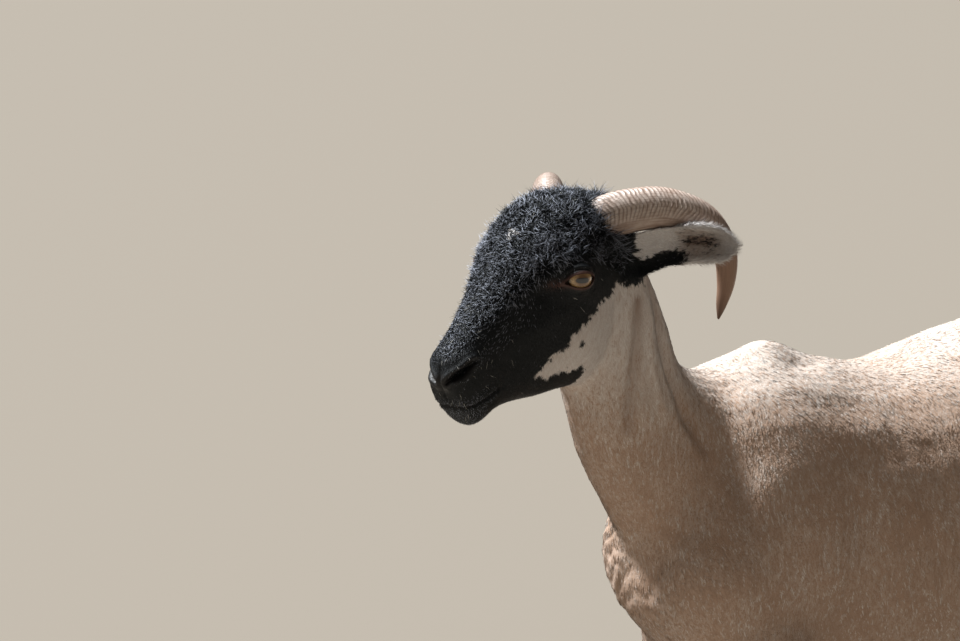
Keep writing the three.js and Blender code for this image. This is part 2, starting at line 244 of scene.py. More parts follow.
# The head's forms, in metres in its own frame on its left side: middle, radius, height.
HEAD_FORMS = [
    ((-0.033, -0.044, -0.011), 0.009, -0.0030),     # pit in front of the eye
    ((-0.012, -0.052, 0.021), (0.02, 0.012, 0.006), 0.0022),   # brow
    ((0.012, -0.058, 0.020), (0.016, 0.012, 0.006), 0.0018),
    ((0.034, -0.054, 0.004), 0.013, -0.0025),       # temple
    ((0.006, -0.054, -0.058), 0.030, 0.0020),       # cheek
    ((-0.062, -0.037, -0.075), 0.020, -0.0025),     # hollow below the crest
    ((-0.108, -0.025, -0.060), (0.012, 0.010, 0.009), 0.0018),  # wing of the nostril
    ((-0.105, -0.020, -0.094), 0.013, 0.0018),      # upper lip
    ((-0.092, -0.014, -0.118), 0.013, 0.0010),      # lower lip
    ((-0.070, -0.028, -0.092), 0.006, -0.0020),     # corner of the mouth
]
CREST_LINE = [(-0.012, -0.049, -0.030), (-0.040, -0.043, -0.042), (-0.068, -0.036, -0.056)]
NOSTRIL_LINE = [(-0.1245, -0.0070, -0.0850), (-0.1235, -0.0120, -0.0808), (-0.1195, -0.0180, -0.0768),
                (-0.1136, -0.0224, -0.0726), (-0.1060, -0.0238, -0.0665), (-0.1020, -0.0242, -0.0655)]
CREST_RISE, CREST_WIDTH = 0.0016, 0.0085
NOSTRIL_HALF, NOSTRIL_WIDENING = 0.0016, 0.0016    # half its width at the ends, and the more at its middle
NOSTRIL_DEPTH, NOSTRIL_DEEPENING = 0.004, 0.005
NOSTRIL_RIM = 0.0012
MOUTH_DEPTH, MOUTH_HALF = 0.0026, 0.0010
LIP_RISE, LIP_MIDDLE, LIP_WIDTH = 0.0010, 0.0042, 0.0026
GROOVE_DEPTH, GROOVE_HALF = 0.0020, 0.0015         # the groove from the nose to the upper lip
MOUTH_END = -0.066                 # the mouth line stops here
MOUTH_START = (-0.020, -0.0765)    # a place on its plane, seen from the side
MOUTH_RISE = math.tan(math.radians(19.6))


def other_side(places):
    return np.array(places) * (1, -1, 1)


def on_left(places):
    """Places of the head brought over to its left side."""
    return np.column_stack([places[:, 0], -np.abs(places[:, 1]), places[:, 2]])


def unit(vectors):
    """The same directions, each one long."""
    vectors = np.asarray(vectors, float)
    return vectors / np.maximum(np.linalg.norm(vectors, axis=-1, keepdims=True), 1e-12)


def mouth_height(local):
    """Height above the plane of the mouth line."""
    return local[:, 2] - MOUTH_START[1] - (local[:, 0] - MOUTH_START[0]) * MOUTH_RISE


def halved(places, faces, chosen):
    """The mesh with the sides of the chosen faces cut in half, so that these can hold a sharp edge."""
    mesh = bpy.data.meshes.new("halved")
    mesh.from_pydata(places.tolist(), [], faces.tolist())
    work = bmesh.new()
    work.from_mesh(mesh)
    work.faces.ensure_lookup_table()
    cut = {edge for index in np.nonzero(chosen)[0] for edge in work.faces[index].edges}
    bmesh.ops.subdivide_edges(work, edges=list(cut), cuts=1, use_grid_fill=True, smooth=0)
    places = np.array([v.co[:] for v in work.verts])
    faces = [[v.index for v in face.verts] for face in work.faces]
    work.free()
    bpy.data.meshes.remove(mesh)
    return places, faces


middles = to_head(skin_places[skin_faces].mean(1))
near_nostril = to_line(on_left(middles), NOSTRIL_LINE)[0] < 0.0085
near_mouth = (np.abs(mouth_height(middles)) < 0.005) & (middles[:, 0] < MOUTH_END + 0.004)
near_mouth &= np.abs(middles[:, 1]) < 0.05
skin_places, skin_loops = halved(skin_places, skin_faces, near_nostril | near_mouth)
added = np.zeros((len(skin_places) - len(share_of), len(kinds)))
added[:, kinds.index("head")] = 1
share_of = np.concatenate([share_of, added])


def three_sided(loops):
    """The faces, each cut into triangles from its first corner."""
    return np.array([(f[0], f[k], f[k + 1]) for f in loops for k in range(1, len(f) - 1)])


def kind_share(*names):
    """How much of each corner of the hide belongs to the named kinds of solid."""
    return share_of[:, [kinds.index(name) for name in names]].sum(1)


skin_faces = three_sided(skin_loops)
skin_edges = edges_of(skin_faces)
# The coat's depth, by which the hide lies inside the outline of the solids.
COAT_DEPTH = {"trunk": 0.0036, "neck": 0.0032, "head": 0.0014, "lower_jaw": 0.0012, "tail": 0.0024,
              "eye": 0.0006, "ear": 0.0010, "forearm": 0.0022, "thigh": 0.0030, "shank": 0.0009}
POLL_DEPTH = 0.0020
local = to_head(skin_places)
in_head = kind_share("head", "lower_jaw", "eye")
WOOL_EDGE = np.array([(-0.120, -0.064), (-0.018, 0.013), (0.0, 0.018), (0.030, 0.014), (0.060, -0.002)]).T
wool_edge = np.interp(local[:, 0], *WOOL_EDGE)
woolly = in_head * ramp(local[:, 2] - wool_edge, -0.004, 0.010)
deep_wool = woolly * ramp(local[:, 0], -0.100, -0.020)
depth = share_of @ np.array([COAT_DEPTH[k] for k in kinds]) + POLL_DEPTH * deep_wool
depth = spread_values(depth, skin_edges, 4)
skin_places = skin_places - outward(skin_places, skin_faces) * depth[:, None]

skin_normals = outward(skin_places, skin_faces)
local = to_head(skin_places)
lift = np.zeros(len(local))
for middle, radius, height in HEAD_FORMS:
    lift += bump(local, middle, radius, height) + bump(local, other_side(middle), radius, height)
for flip in (np.array, other_side):
    away, along = to_line(local, flip(CREST_LINE))
    lift += CREST_RISE * np.exp(-(away / CREST_WIDTH) ** 2)
    away, along = to_line(local, flip(NOSTRIL_LINE))
    half = NOSTRIL_HALF + NOSTRIL_WIDENING * np.sin(np.pi * along) ** 2
    lift -= (NOSTRIL_DEPTH + NOSTRIL_DEEPENING * np.sin(np.pi * along)) * np.exp(-(away / half) ** 4)
    lift += NOSTRIL_RIM * np.exp(-((away - half - 0.003) / 0.0022) ** 2)
at_mouth = ramp(MOUTH_END + 0.004 - local[:, 0], 0, 0.012) * (np.abs(local[:, 1]) < 0.05)
above = mouth_height(local)
lift -= MOUTH_DEPTH * np.exp(-(above / MOUTH_HALF) ** 2) * at_mouth
lift += LIP_RISE * np.exp(-((np.abs(above) - LIP_MIDDLE) / LIP_WIDTH) ** 2) * at_mouth
groove = np.exp(-(local[:, 1] / GROOVE_HALF) ** 2) * ramp(-local[:, 0], 0.112, 0.118) * (above > 0)
lift -= GROOVE_DEPTH * groove * ramp(-local[:, 2], 0.066, 0.074)
skin_places = skin_places + skin_normals * lift[:, None]
skin_places = spread_values(skin_places, skin_edges, 2, weight=in_head * 0.6)

# Each ear is dished towards its tip, with its rims turned forwards.
EAR_ROOT = np.array((0.066, -0.046, 0.004))
EAR_TIP = np.array((0.138, -0.131, 0.022))
EAR_FACING = np.array((-0.743, -0.669, -0.15))
ear_axis = EAR_TIP - EAR_ROOT
ear_facing = unit(EAR_FACING - ear_axis * (EAR_FACING @ ear_axis) / (ear_axis @ ear_axis))
ear_across = unit(np.cross(ear_axis, ear_facing))
ear_across *= np.sign(ear_across[2])
EAR_BOW = 0.010                    # its middle line rises this far above the straight
DISH_DEPTH, RIM_TURN = 0.0050, 0.0040


def on_ear_plan(places):
    """How far along the left ear each place lies, from 0 to 1, and how far across it, in metres."""
    away = places - EAR_ROOT
    along = away @ ear_axis / (ear_axis @ ear_axis)
    return along, away @ ear_across - EAR_BOW * np.sin(np.pi * np.clip(along, 0, 1)) * ear_across[2]


def side_flip(places):
    """What brings a direction at each place of the head over to the left side, and back."""
    flip = np.ones((len(places), 3))
    flip[places[:, 1] > 0, 1] = -1
    return flip


local = to_head(skin_places)
flip = side_flip(local)
ear_t, ear_e = on_ear_plan(on_left(local))
far_ear = ramp(ear_t, 0.36, 0.60) * share_of[:, kinds.index("ear")]
forward = RIM_TURN * ramp(np.abs(ear_e), 0.007, 0.016) - DISH_DEPTH * (1 - ramp(np.abs(ear_e), 0, 0.010))
widened = 0.35 * ear_e * ramp(ear_t, 0.66, 0.98) * share_of[:, kinds.index("ear")]
skin_places += (ear_across * widened[:, None] * flip) @ head_turn.T
skin_places += (ear_facing * (forward * far_ear * ramp(-ear_t, -1.08, -0.92))[:, None] * flip) @ head_turn.T


# The hide's looser forms on the neck, chest and trunk: folds that hang from behind the ear and jaw,
# ruffles over the breast, the shoulder blade, the point of the shoulder, ribs, hip and flank.
NECK_FOLDS = [
    ([(-0.239, -0.074, 0.740), (-0.229, -0.074, 0.686), (-0.213, -0.068, 0.646), (-0.194, -0.064, 0.605),
      (-0.178, -0.068, 0.575)], 0.0058, -0.0042),
    ([(-0.252, -0.080, 0.735), (-0.246, -0.080, 0.690), (-0.236, -0.076, 0.650), (-0.222, -0.070, 0.612)],
     0.0050, 0.0026),
    ([(-0.262, -0.083, 0.727), (-0.261, -0.083, 0.690), (-0.263, -0.075, 0.642), (-0.262, -0.066, 0.600)],
     0.0060, -0.0026),
    ([(-0.222, -0.068, 0.715), (-0.208, -0.068, 0.665), (-0.190, -0.062, 0.628)], 0.0055, 0.0026),
]
FOLD_GAIN, BODY_GAIN = 1.7, 1.5    # the folds and forms are raised by these
NECK_MIDDLE_Z = (0.50, 0.548, 0.588, 0.632, 0.678, 0.752)
NECK_MIDDLE_Y = (0.0, -0.002, -0.011, -0.024, -0.034, -0.047)
BODY_FORMS = [
    ((-0.069, -0.004, 0.660), (0.030, 0.026, 0.020), 0.0050),   # knob of the withers
    ((-0.050, -0.030, 0.640), (0.020, 0.012, 0.014), -0.0030),
    ((-0.090, -0.085, 0.610), (0.040, 0.040, 0.030), 0.0022),   # top of the shoulder blade
    ((-0.150, -0.090, 0.560), (0.024, 0.040, 0.050), -0.0060),  # hollow in front of the shoulder
    ((-0.175, -0.112, 0.455), (0.042, 0.050, 0.042), 0.0070),   # point of the shoulder
    ((-0.105, -0.126, 0.500), (0.055, 0.040, 0.085), 0.0040),   # shoulder muscle
    ((-0.030, -0.130, 0.490), (0.022, 0.050, 0.090), -0.0045),  # behind the shoulder
    ((-0.080, -0.100, 0.375), (0.034, 0.050, 0.030), 0.0050),   # elbow
    ((0.215, -0.085, 0.655), (0.030, 0.030, 0.020), 0.0060),    # hip bone
    ((0.185, -0.125, 0.540), (0.045, 0.030, 0.055), -0.0080),   # hollow of the flank
    ((0.330, -0.100, 0.480), (0.060, 0.050, 0.080), 0.0050),    # ham
]
RIB_START, RIB_STEP, RIB_HEIGHT = -0.01, 0.026, 0.0006
BREAST, BREAST_REACH = (-0.205, 0.045, 0.445), (0.05, 0.05, 0.06)
RUFFLE_STEP = 0.0125
DEWCLAW_PAD, PAD_RISE = 0.014, 0.0050
PASTERN_REACH, PASTERN_RISE = (0.022, 0.016, 0.010), 0.0025


def waves(points, size, seed, count=28):
    """Smooth, fixed, random-looking values of about 1 up and down, with features of the given size."""
    draw = np.random.RandomState(seed)
    total = np.zeros(len(points))
    for _ in range(count):
        heading = draw.normal(size=3)
        heading *= draw.uniform(0.6, 1.6) / np.linalg.norm(heading) * 2 * np.pi / size
        total += np.sin(points @ heading + draw.uniform(0, 2 * np.pi))
    return total / math.sqrt(count / 2)


def across_neck(places):
    """The matching places on the other side of the bent neck."""
    middle = np.interp(places[:, 2], NECK_MIDDLE_Z, NECK_MIDDLE_Y)
    return np.stack([places[:, 0], 2 * middle - places[:, 1], places[:, 2]], 1)


skin_normals = outward(skin_places, skin_faces)
lift = np.zeros(len(skin_places))
for side in (skin_places, across_neck(skin_places)):
    for line, width, height in NECK_FOLDS:
        away, along = to_line(side, line)
        fading = np.sin(np.pi * np.clip(along * 0.9 + 0.06, 0, 1)) ** 0.7
        lift += FOLD_GAIN * height * np.exp(-(away / width) ** 2) * fading
for middle, radius, height in BODY_FORMS:
    height *= BODY_GAIN
    lift += bump(skin_places, middle, radius, height)
    lift += bump(skin_places, other_side(middle), radius, height)
x, y, z = skin_places.T
off_breast = (np.column_stack([x, np.abs(y), z]) - BREAST) / BREAST_REACH
breast = np.exp(-(off_breast ** 2).sum(1))
slant = skin_places @ np.array((0.45, 0.35, 0.82))
ruffle = np.sin(slant * 2 * np.pi / RUFFLE_STEP + 1.6 * waves(skin_places, 0.05, 3))
lift += breast * (0.0009 * ruffle + 0.0006 * waves(skin_places, 0.022, 5))
ribs = ramp(x, -0.03, 0.02) * ramp(-x, -0.17, -0.12) * ramp(np.abs(y), 0.07, 0.11) * ramp(z, 0.38, 0.45)
lift += RIB_HEIGHT * ribs * np.sin((x + 0.25 * (z - 0.5) - RIB_START) * 2 * np.pi / RIB_STEP)
on_body = kind_share("trunk", "neck", "thigh")
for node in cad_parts:
    if "claw_" in node:            # the pastern fills each claw's rim, and a pad carries each dewclaw
        low, high = (np.array(corner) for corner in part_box(node))
        middle = (low + high) / 2
        if node.startswith("dewclaw_"):
            lift += bump(skin_places, middle, DEWCLAW_PAD, PAD_RISE)
        else:
            lift += bump(skin_places, (middle[0], middle[1], high[2]), PASTERN_REACH, PASTERN_RISE)
streaked = skin_places * (1.6, 1.6, 0.45)
lift += on_body * (0.0003 * waves(skin_places, 0.06, 8) + 0.00013 * waves(streaked, 0.013, 9))
skin_places = skin_places + skin_normals * lift[:, None]

# ---------------------------------------------------------------- eyelids
# Dark, bare-edged lids drawn over each eyeball, with a long front corner, in the same skin.
# The faces over the eye are replaced by rings that run from the face to the lids' edge and in behind it.

EYE_RADIUS = 0.0145
EYE_CENTRE = np.array((0.0025, -0.0525, 0.0013))
GAZE = unit((-0.454, -0.89, -0.03))
LID_THICK = 0.0016
LID_REACH = (0.0215, 0.0175)       # the rings start this far from the middle of the eye, along and up
LID_DEPTH = -0.016                 # and take in the face down to this height, along the gaze
LID_BEND = 0.0150                  # past this the lids leave the ball and run straight down to the face
LID_SLOPE = 2.2                    # this steeply
LID_BLEND = 0.0018                 # the face and the lids over the ball run into one another this softly
LID_LINING = ((0.965, 0.0008), (0.93, 0.0022), (0.86, 0.0042), (0.6, 0.0075))    # shrink, and drop behind
OPENING = np.array([                # the lids' edge, ahead and up from the middle of the eye
    (15.8, -3.4), (11.6, 1.2), (7.4, 4.6), (2.0, 6.1), (-4.0, 6.2), (-10.2, 4.7), (-15.0, 0.6),
    (-11.0, -3.8), (-6.0, -6.3), (0.0, -7.1), (6.0, -6.6), (11.2, -5.1)]) / 1000
LID_STEPS = (0.10, 0.20, 0.30, 0.40, 0.49, 0.57, 0.64, 0.71, 0.77, 0.83, 0.89, 0.95, 1.0)

eye_ahead = np.array((-1.0, 0, 0)) - GAZE * (np.array((-1.0, 0, 0)) @ GAZE)
eye_ahead /= np.linalg.norm(eye_ahead)
eye_up = np.cross(GAZE, eye_ahead)
eye_up *= np.sign(eye_up[2])
EYE_AXES = np.stack([eye_ahead, eye_up, GAZE], 1)
SIDES = {"left": np.array((1, 1, 1)), "right": np.array((1, -1, 1))}


def curve_between(p0, p1, p2, p3, t):
    """Places on a smooth curve from p1 to p2, where t runs from 0 to 1."""
    return 0.5 * (2 * p1 + (p2 - p0) * t + (2 * p0 - 5 * p1 + 4 * p2 - p3) * t ** 2
                  + (3 * p1 - p0 - 3 * p2 + p3) * t ** 3)


def closed_curve(points, count):
    """A smooth closed curve through the points."""
    out = []
    total = len(points)
    for k in range(total):
        four = [points[(k + d) % total] for d in (-1, 0, 1, 2)]
        out += [curve_between(*four, t) for t in np.arange(0, 1, total / count)]
    return np.array(out)


opening = closed_curve(OPENING, 240)
opening_turn = np.arctan2(opening[:, 1], opening[:, 0])
opening_order = np.argsort(opening_turn)
opening_turn = opening_turn[opening_order]
opening_reach = np.linalg.norm(opening, axis=1)[opening_order]


def in_eye(local, flip):
    """Places in the eye's own frame: ahead along the lids, up, and out along the gaze."""
    return (local * flip - EYE_CENTRE) @ EYE_AXES


def from_eye(points, flip):
    return (points @ EYE_AXES.T + EYE_CENTRE) * flip


def eased(values, rounds):
    """The values round a closed ring, each drawn towards its neighbours."""
    for _ in range(rounds):
        values = (np.roll(values, 1, axis=0) + 2 * values + np.roll(values, -1, axis=0)) / 4
    return values


def rim_loop(cut):
    """The corners round the edge of the faces that are taken out, in order."""
    ways = {(f[k], f[(k + 1) % 3]) for f in cut.tolist() for k in range(3)}
    after = {a: b for a, b in ways if (b, a) not in ways}
    loop = [next(iter(after))]
    while after[loop[-1]] != loop[0]:
        loop.append(after[loop[-1]])
    return np.array(loop)


def lid_height(away, upper):
    """The fold above the upper lid, the crease below the lower one, and the lids' thickened edge."""
    height = -0.0016 * np.exp(-((away - 0.0040) / 0.0012) ** 2) * upper
    height += 0.0009 * np.exp(-((away - 0.0062) / 0.0016) ** 2) * upper
    height -= 0.0008 * np.exp(-((away - 0.0042) / 0.0010) ** 2) * (1 - upper)
    height -= 0.0005 * np.exp(-((away - 0.0078) / 0.0011) ** 2) * (1 - upper)
    return height + 0.0004 * np.exp(-(away / 0.0012) ** 2)


def lidded(places, faces, flip):
    """The skin with lids on one side, which the flip brings over to the left."""
    places = places.copy()
    seen = in_eye(to_head(places), flip)
    middle = seen[faces].mean(1)
    gone = (middle[:, 0] / LID_REACH[0]) ** 2 + (middle[:, 1] / LID_REACH[1]) ** 2 < 1
    gone &= middle[:, 2] > LID_DEPTH
    close = (np.linalg.norm(middle[:, :2], axis=1) < 0.03) & (middle[:, 2] > 1.6 * LID_DEPTH)
    around = BVHTree.FromPolygons(seen.tolist(), faces[close].tolist())
    loop = rim_loop(faces[gone])
    rim = eased(seen[loop], 6)
    places[loop] = from_head(from_eye(rim, flip))
    turn = np.unwrap(np.arctan2(rim[:, 1], rim[:, 0]))
    even = turn[0] + (turn[-1] - turn[0]) * np.arange(len(turn)) / (len(turn) - 1)
    turn = even + eased(turn - even, 12)
    edge = np.interp(turn, opening_turn, opening_reach, period=2 * np.pi)
    edge_flat = np.stack([np.cos(turn), np.sin(turn)], 1) * edge[:, None]
    upper = ramp(np.sin(turn), -0.2, 0.4)
    rings = []
    for step in LID_STEPS:
        flat = rim[:, :2] + (edge_flat - rim[:, :2]) * step
        hits = [around.ray_cast(Vector((a, b, 0.06)), Vector((0, 0, -1)))[0] for a, b in flat]
        height = eased(np.array([hit[2] for hit in hits]), 2)
        reach = np.linalg.norm(flat, axis=1)
        ball = np.sqrt((EYE_RADIUS + LID_THICK) ** 2 - np.minimum(reach, LID_BEND) ** 2)
        ball -= LID_SLOPE * np.maximum(reach - LID_BEND, 0)
        height = (height + ball + np.sqrt((height - ball) ** 2 + LID_BLEND ** 2)) / 2
        height = height * ramp(step, 0, 0.25) + rim[:, 2] * (1 - ramp(step, 0, 0.25))
        height += lid_height(np.linalg.norm(edge_flat - flat, axis=1), upper)
        rings.append(np.column_stack([flat, height]))
    last = rings[-1]
    for shrink, drop in LID_LINING:
        rings.append(np.column_stack([last[:, :2] * shrink, last[:, 2] - drop]))
    count = len(loop)
    made = from_head(from_eye(np.concatenate(rings + [[(0, 0, 0.002)]]), flip))
    base = len(places)
    new = []
    previous = loop
    for k in range(len(rings)):
        now = base + k * count + np.arange(count)
        ahead, near = np.roll(previous, -1), np.roll(now, -1)
        new += [np.stack([previous, ahead, near], 1), np.stack([previous, near, now], 1)]
        previous = now
    centre = np.full(count, base + len(rings) * count)
    new.append(np.stack([previous, np.roll(previous, -1), centre], 1))
    from_edge = np.concatenate([np.linalg.norm(edge_flat - rim[:, :2], axis=1) * (1 - s) for s in LID_STEPS]
                               + [np.zeros(count)] * len(LID_LINING) + [np.zeros(1)])
    return np.concatenate([places, made]), np.concatenate([faces[~gone]] + new), from_edge


lid_distance = np.full(len(skin_places), 1.0)
for flip in SIDES.values():
    skin_places, skin_faces, from_edge = lidded(skin_places, skin_faces, flip)
    lid_distance = np.concatenate([lid_distance, from_edge])
used, renumbered = np.unique(skin_faces.reshape(-1), return_inverse=True)
skin_faces = renumbered.reshape(-1, 3)
added = np.zeros((len(skin_places) - len(share_of), len(kinds)))
added[:, kinds.index("head")] = 1
share_of = np.concatenate([share_of, added])[used]
woolly = np.concatenate([woolly, np.zeros(len(added))])[used]
deep_wool = np.concatenate([deep_wool, np.zeros(len(added))])[used]
lid_distance = lid_distance[used]
skin_places = skin_places[used]
skin_edges = edges_of(skin_faces)
beside_lids = np.zeros(len(skin_places))
for flip in SIDES.values():
    seen = in_eye(to_head(skin_places), flip)
    off = np.abs(np.hypot(seen[:, 0] / LID_REACH[0], seen[:, 1] / LID_REACH[1]) - 0.98)
    beside_lids += np.exp(-(off / 0.12) ** 2) * (seen[:, 2] > 1.3 * LID_DEPTH)
skin_places = spread_values(skin_places, skin_edges, 5, weight=beside_lids)

# ---------------------------------------------------------------- markings and the lie of the hair
# The face is near-black and the throat white, parted by a ragged line; ears and lower legs are mixed.
# Each corner of the hide holds its colour, and the direction, length, rise and number of its hairs.

# The white throat seen from the side, in the head's frame: x backwards and z up. It runs on over the neck.
WHITE_AREA = np.array([
    (5, 0.09), (0.112, 0.09), (0.106, 0.03), (0.093, -0.0146), (0.072, -0.0156), (0.057, -0.0096),
    (0.052, -0.019), (0.028, -0.028), (0.017, -0.040), (-0.001, -0.052), (-0.001, -0.061),
    (-0.016, -0.069), (-0.020, -0.075), (-0.0295, -0.087), (-0.012, -0.093), (0, -0.087), (0.015, -0.089),
    (0.025, -0.084), (0.035, -0.0935), (0.0345, -0.108), (0.045, -0.115), (0.048, -0.120), (0.035, -5),
    (5, -5)])
DARK_SPOTS = [((0.013, -0.050, -0.061), 0.0032), ((0.072, -0.057, -0.017), 0.0026),
              ((0.076, -0.057, -0.050), 0.0018), ((0.006, -0.050, -0.070), 0.0014)]
PALE_STAR = ((-0.033, -0.004, 0.042), 0.007)
HAIR_LIE = {"trunk": (0.35, 0, -0.9), "neck": (0.15, 0, -1), "head": (0.45, 0, -0.9),
            "lower_jaw": (0.6, 0, -0.5), "tail": (0.1, 0, -1), "eye": (0.5, 0, -0.6), "ear": (0, 0, 0),
            "forearm": (0.1, 0, -1), "thigh": (0.35, 0, -1), "shank": (0, 0, -1)}
HAIR_LENGTH = {"trunk": 0.0056, "neck": 0.0046, "head": 0.0040, "lower_jaw": 0.0036, "tail": 0.011,
               "eye": 0.0020, "ear": 0.0036, "forearm": 0.0048, "thigh": 0.0056, "shank": 0.0034}


def toward_line(points, ring):
    """Distance in the plane from each point to a closed outline, above nought inside it."""
    best = np.full(len(points), np.inf)
    inside = np.zeros(len(points), bool)
    for a, b in zip(ring, np.roll(ring, -1, axis=0)):
        step = b - a
        t = np.clip((points - a) @ step / (step @ step), 0, 1)
        best = np.minimum(best, np.linalg.norm(points - a - t[:, None] * step, axis=1))
        if a[1] != b[1]:
            crosses = (a[1] > points[:, 1]) != (b[1] > points[:, 1])
            inside ^= crosses & (points[:, 0] < a[0] + (points[:, 1] - a[1]) / (b[1] - a[1]) * step[0])
    return np.where(inside, best, -best)


skin_normals = outward(skin_places, skin_faces)
local = to_head(skin_places)
sided = on_left(local)
in_head = kind_share("head", "lower_jaw", "eye")

margin = toward_line(sided[:, [0, 2]], WHITE_AREA)
margin += 0.0016 * waves(local, 0.008, 21) + 0.0009 * waves(local, 0.0035, 22)
dark = 1 - ramp(margin, -0.0007, 0.0007)
for middle, radius in DARK_SPOTS:
    away = np.linalg.norm(sided - middle, axis=1) + 0.0006 * waves(local, 0.005, 23)
    dark = np.maximum(dark, 1 - ramp(away, radius - 0.0007, radius + 0.0007))
away = np.linalg.norm(local - PALE_STAR[0], axis=1) + 0.0022 * waves(local, 0.007, 24)
dark = dark - 0.55 * (1 - ramp(away, PALE_STAR[1] - 0.003, PALE_STAR[1] + 0.002))
dark *= ramp(in_head + kind_share("ear") + kind_share("neck"), 0.2, 0.6)

ear_t, ear_e = on_ear_plan(sided)
flip = side_flip(local)
ear_front = ramp((skin_normals @ head_turn * flip) @ ear_facing, -0.25, 0.25)
ragged_t = ear_t + 0.018 * waves(local, 0.009, 25)
ragged_e = ear_e + 0.0012 * waves(local, 0.006, 26)
patch = ramp(ragged_t, 0.16, 0.19) * ramp(ragged_e, -0.0075, -0.0045)
patch = np.maximum(patch, ramp(ragged_t, 0.50, 0.56))
speckle = ramp(waves(local, 0.0036, 27), 0.3, 1.0) * ramp(ear_t, 0.44, 0.54)
# Painted shade: the hollow down the middle of the ear's cup is painted darker.
ear_hollow_shade = ramp(ragged_t, 0.54, 0.60) * ramp(-ragged_t, -0.90, -0.84)
ear_hollow_shade *= 1 - ramp(np.abs(ear_e), 0.0030, 0.0065)
ear_half = np.interp(ear_t, (0.0, 0.35, 0.75, 0.92, 1.0), (0.021, 0.020, 0.0160, 0.013, 0.006))
ear_rim = ramp(np.maximum(np.abs(ear_e) / ear_half, ear_t + 0.05), 0.78, 0.98) * ramp(ear_t, 0.42, 0.56)
ear_fringe = ramp(-ear_e / ear_half, 0.6, 0.95) * (1 - ear_rim)
ear_dark_front = np.clip(1 - patch + (0.62 * speckle + 0.45 * ear_hollow_shade) * (1 - 0.9 * ear_rim), 0, 1)
ear_dark_back = np.clip(1 - patch * ramp(ragged_e, -0.004, 0.004) + 0.6 * speckle, 0, 1)
ear_dark_back *= 1 - 0.9 * ear_rim
ear_dark = ear_dark_front * ear_front + ear_dark_back * (1 - ear_front)
on_ear = ramp(kind_share("ear"), 0.3, 0.7)
height = skin_places[:, 2]
dark = dark + (ear_dark - dark) * on_ear

# The star, ears and throat are a cooler white than the fleece; the neck's folds and each ear's cup are
# painted brown as shade, the folds partly as hide showing through.
star = 1 - ramp(away, PALE_STAR[1] - 0.003, PALE_STAR[1] + 0.003)
ear_cup_shade = ramp(ragged_t, 0.48, 0.58) * (1 - ear_rim) * ear_front * on_ear
cool = 0.55 * in_head + 0.9 * on_ear - 0.35 * ear_cup_shade + star
cool = np.clip(cool + 0.35 * kind_share("neck") * ramp(height, 0.60, 0.72), 0, 1)
# The wool on the sides below the back, on the lower neck and on the tail is browner and darker: partly the
# fleece's own tan, partly painted shade of the flanks.
tan = ramp(-height, -0.66, -0.58) * ramp(height, 0.18, 0.36) * kind_share("trunk", "thigh", "forearm")
tan += ramp(-height, -0.70, -0.56) * kind_share("neck")
tan = np.clip(tan + kind_share("tail"), 0, 1)
# Painted shade: the valleys of the neck's folds, and the cup of each ear, which are painted brown.
fold = np.zeros(len(skin_places))
for side in (skin_places, across_neck(skin_places)):
    for line, width, rise in NECK_FOLDS:
        if rise < 0:
            fold = np.maximum(fold, np.exp(-(to_line(side, line)[0] / (width * 1.1)) ** 2))
fold *= kind_share("neck", "trunk")
fold = np.maximum(fold, (0.45 + 0.55 * ear_hollow_shade) * ear_cup_shade)

mottle = waves(skin_places * (1, 1, 0.8), 0.042, 31) + 0.45 * waves(skin_places, 0.014, 32)
mottle += np.interp(height, (0.04, 0.10, 0.20, 0.30, 0.36), (1.2, 0.4, -0.2, -1.0, -9))
leg_dark = ramp(mottle, -0.12, 0.12) * ramp(kind_share("forearm", "thigh", "shank"), 0.4, 0.8)
dark = np.clip(np.maximum(dark, leg_dark), 0, 1)

# Bare or nearly bare skin: the nose between and round the nostrils, the lips' edge, and the lids.
near_nostril = to_line(sided, NOSTRIL_LINE)[0]
above = mouth_height(local)
nose_pad = in_head * (1 - ramp(near_nostril, 0.0035, 0.0075)) * ramp(-local[:, 0], 0.096, 0.108)
between = in_head * ramp(-local[:, 0], 0.117, 0.121) * ramp(-local[:, 2], 0.074, 0.080)
between *= (1 - ramp(np.abs(local[:, 1]), 0.006, 0.010)) * ramp(above, 0.002, 0.006)
nose_pad = np.maximum(nose_pad, between)
lip_edge = (1 - ramp(np.abs(above), 0.0010, 0.0026)) * (local[:, 0] < MOUTH_END) * in_head
lid_edge = 1 - ramp(lid_distance, 0.0030, 0.0060)
bare = np.clip(np.maximum(np.maximum(nose_pad, lip_edge), lid_edge), 0, 1)
eye_front = np.array((-0.0205, -0.050, -0.003))
pink = np.exp(-(np.linalg.norm((sided - eye_front) / (0.0085, 0.02, 0.0042), axis=1)) ** 2)
pink = np.maximum(pink, 0.75 * (1 - ramp(lid_distance, 0.0012, 0.0030)))

# The lie of the hair.
lie = share_of @ np.array([HAIR_LIE[k] for k in kinds])
head_lie = np.array(HAIR_LIE["head"]) + np.zeros_like(local)
to_nose = ramp(-local[:, 0], 0.020, 0.075) * ramp(local[:, 2] + 0.35 * local[:, 0], -0.115, -0.075)
head_lie += (np.array((-0.75, 0, -0.65)) - head_lie) * to_nose[:, None]
head_lie += (np.array((0.3, 0, 0.2)) - head_lie) * (deep_wool * ramp(local[:, 0], -0.03, 0.02))[:, None]
horn_root = np.linalg.norm(sided - (0.060, -0.034, 0.044), axis=1)
by_horn = in_head * (1 - ramp(horn_root, 0.025, 0.038))
head_lie += (flip * (0.75, -0.6, 0.2) - head_lie) * by_horn[:, None]
head_lie += np.stack([waves(local, 0.02, 41 + k) for k in range(3)], 1) * (0.6 * woolly)[:, None]
lie += (head_lie @ head_turn.T - lie) * in_head[:, None]
lie += (unit(ear_axis) * flip @ head_turn.T - lie) * on_ear[:, None]
lie += np.stack([waves(skin_places, 0.07, 51 + k) for k in range(3)], 1) * 0.12
lie -= skin_normals * (lie * skin_normals).sum(1)[:, None]
lie = unit(spread_values(unit(lie), skin_edges, 3))

